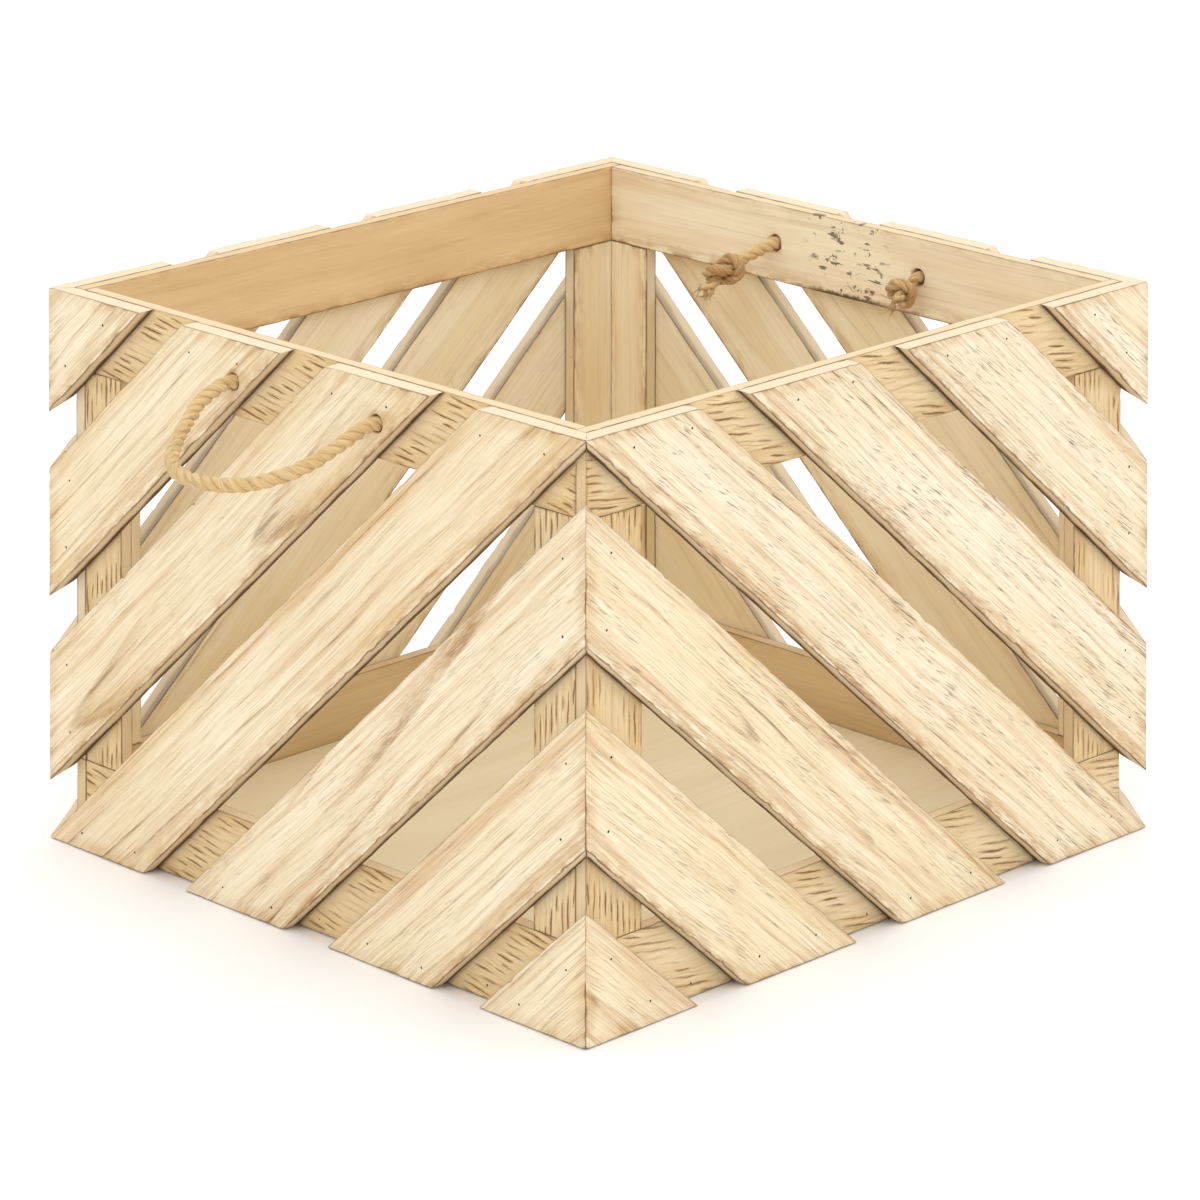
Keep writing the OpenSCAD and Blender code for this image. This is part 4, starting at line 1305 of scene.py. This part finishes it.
def floor_material():
    g = Nodes("studio_floor")
    tc = g.new("ShaderNodeTexCoord")
    nz = g.noise(tc.outputs["Object"], 3.0, 2, 0.5)
    g.put(g.bsdf.inputs["Base Color"], g.mix(g.step(nz, 0.3, 0.7), grey(0.955), grey(0.97)))
    g.bsdf.inputs["Roughness"].default_value = 0.9
    g.bsdf.inputs["Specular IOR Level"].default_value = 0.1
    return g.mat


mesh = bpy.data.meshes.new("studio_floor")
half = 40.0
mesh.from_pydata([(-half, -half, -0.0005), (half, -half, -0.0005), (half, half, -0.0005), (-half, half, -0.0005)], [], [(0, 1, 2, 3)])
floor = bpy.data.objects.new("studio_floor", mesh)
bpy.context.scene.collection.objects.link(floor)
floor.data.materials.append(floor_material())
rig.stage(floor)

world = bpy.data.worlds.new("studio")
bpy.context.scene.world = world
world.use_nodes = True
wt = world.node_tree
bg = wt.nodes["Background"]
bg.inputs[0].default_value = (1.0, 1.0, 1.0, 1.0)
bg.inputs[1].default_value = 0.95
seen = wt.nodes.new("ShaderNodeBackground")
seen.inputs[0].default_value = (1.0, 1.0, 1.0, 1.0)
seen.inputs[1].default_value = 1.0
ray = wt.nodes.new("ShaderNodeLightPath")
pick = wt.nodes.new("ShaderNodeMixShader")
wt.links.new(ray.outputs["Is Camera Ray"], pick.inputs[0])
wt.links.new(bg.outputs[0], pick.inputs[1])
wt.links.new(seen.outputs[0], pick.inputs[2])
wt.links.new(pick.outputs[0], wt.nodes["World Output"].inputs[0])


def area(name, location, target, size, power, colour=(1, 1, 1)):
    data = bpy.data.lights.new(name, "AREA")
    data.shape = "SQUARE"
    data.size = size
    data.energy = power
    data.color = colour
    ob = bpy.data.objects.new(name, data)
    bpy.context.scene.collection.objects.link(ob)
    ob.location = location
    ob.rotation_euler = (Vector(target) - Vector(location)).to_track_quat("-Z", "Y").to_euler()
    return ob


area("key", (-2.2, -1.6, 2.6), (0, 0, 0.12), 1.8, 23, (1.0, 0.995, 0.985))
area("fill", (1.4, -2.6, 1.5), (0, 0, 0.12), 2.0, 11, (1.0, 0.995, 0.985))
area("top", (0.2, 0.2, 3.0), (0, 0, 0.1), 1.4, 20)

# ---------------------------------------------------------------- camera
# A shift lens, as a studio view camera: the picture plane stays almost upright, so upright edges stay parallel.

cam_data = bpy.data.cameras.new("camera")
cam = bpy.data.objects.new("camera", cam_data)
bpy.context.scene.collection.objects.link(cam)
bpy.context.scene.camera = cam
cam_data.sensor_fit = "HORIZONTAL"
cam_data.sensor_width = 36.0
EYE = (-1.98289, -2.07766, 1.04181)
AIM_AZ, AIM_EL, ROLL = 46.903, 2.209, 0.165
F_PX, CX, CY = 5356.2, 904.1, -882.5
cam_data.lens = F_PX * 36.0 / 1200.0
cam.location = EYE
az, el, roll = math.radians(AIM_AZ), math.radians(AIM_EL), math.radians(ROLL)
fwd = Vector((math.sin(az) * math.cos(el), math.cos(az) * math.cos(el), -math.sin(el)))
flat = Vector((math.cos(az), -math.sin(az), 0))
upright = flat.cross(fwd)
right = flat * math.cos(roll) + upright * math.sin(roll)
up = right.cross(fwd)
cam.rotation_mode = "QUATERNION"
cam.rotation_quaternion = Matrix((right, up, -fwd)).transposed().to_quaternion()
cam_data.clip_start, cam_data.clip_end = 0.05, 200.0
SHIFT_X, SHIFT_Y = (600 - CX) / 1200, (CY - 600) / 1200


def shift_driver(axis, value):
    fc = cam_data.driver_add(axis)
    dr = fc.driver
    dr.type = "SCRIPTED"
    for vn, ch in (("x", "LOC_X"), ("y", "LOC_Y"), ("z", "LOC_Z")):
        v = dr.variables.new()
        v.name = vn
        v.type = "TRANSFORMS"
        v.targets[0].id = cam
        v.targets[0].transform_type = ch
        v.targets[0].transform_space = "WORLD_SPACE"
    dr.expression = f"{value:.6f} if abs(x - {EYE[0]:.5f}) + abs(y - {EYE[1]:.5f}) + abs(z - {EYE[2]:.5f}) < 0.001 else 0.0"


cam_data.shift_x, cam_data.shift_y = SHIFT_X, SHIFT_Y
shift_driver("shift_x", SHIFT_X)
shift_driver("shift_y", SHIFT_Y)

bpy.context.scene.view_settings.view_transform = "Standard"
bpy.context.scene.view_settings.look = "None"

# ---------------------------------------------------------------- end

lo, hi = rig.bounds()
with open("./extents.json", "w") as f:
    json.dump({"cad": [list(CAD_LO), list(CAD_HI)], "visual": [list(lo), list(hi)]}, f)
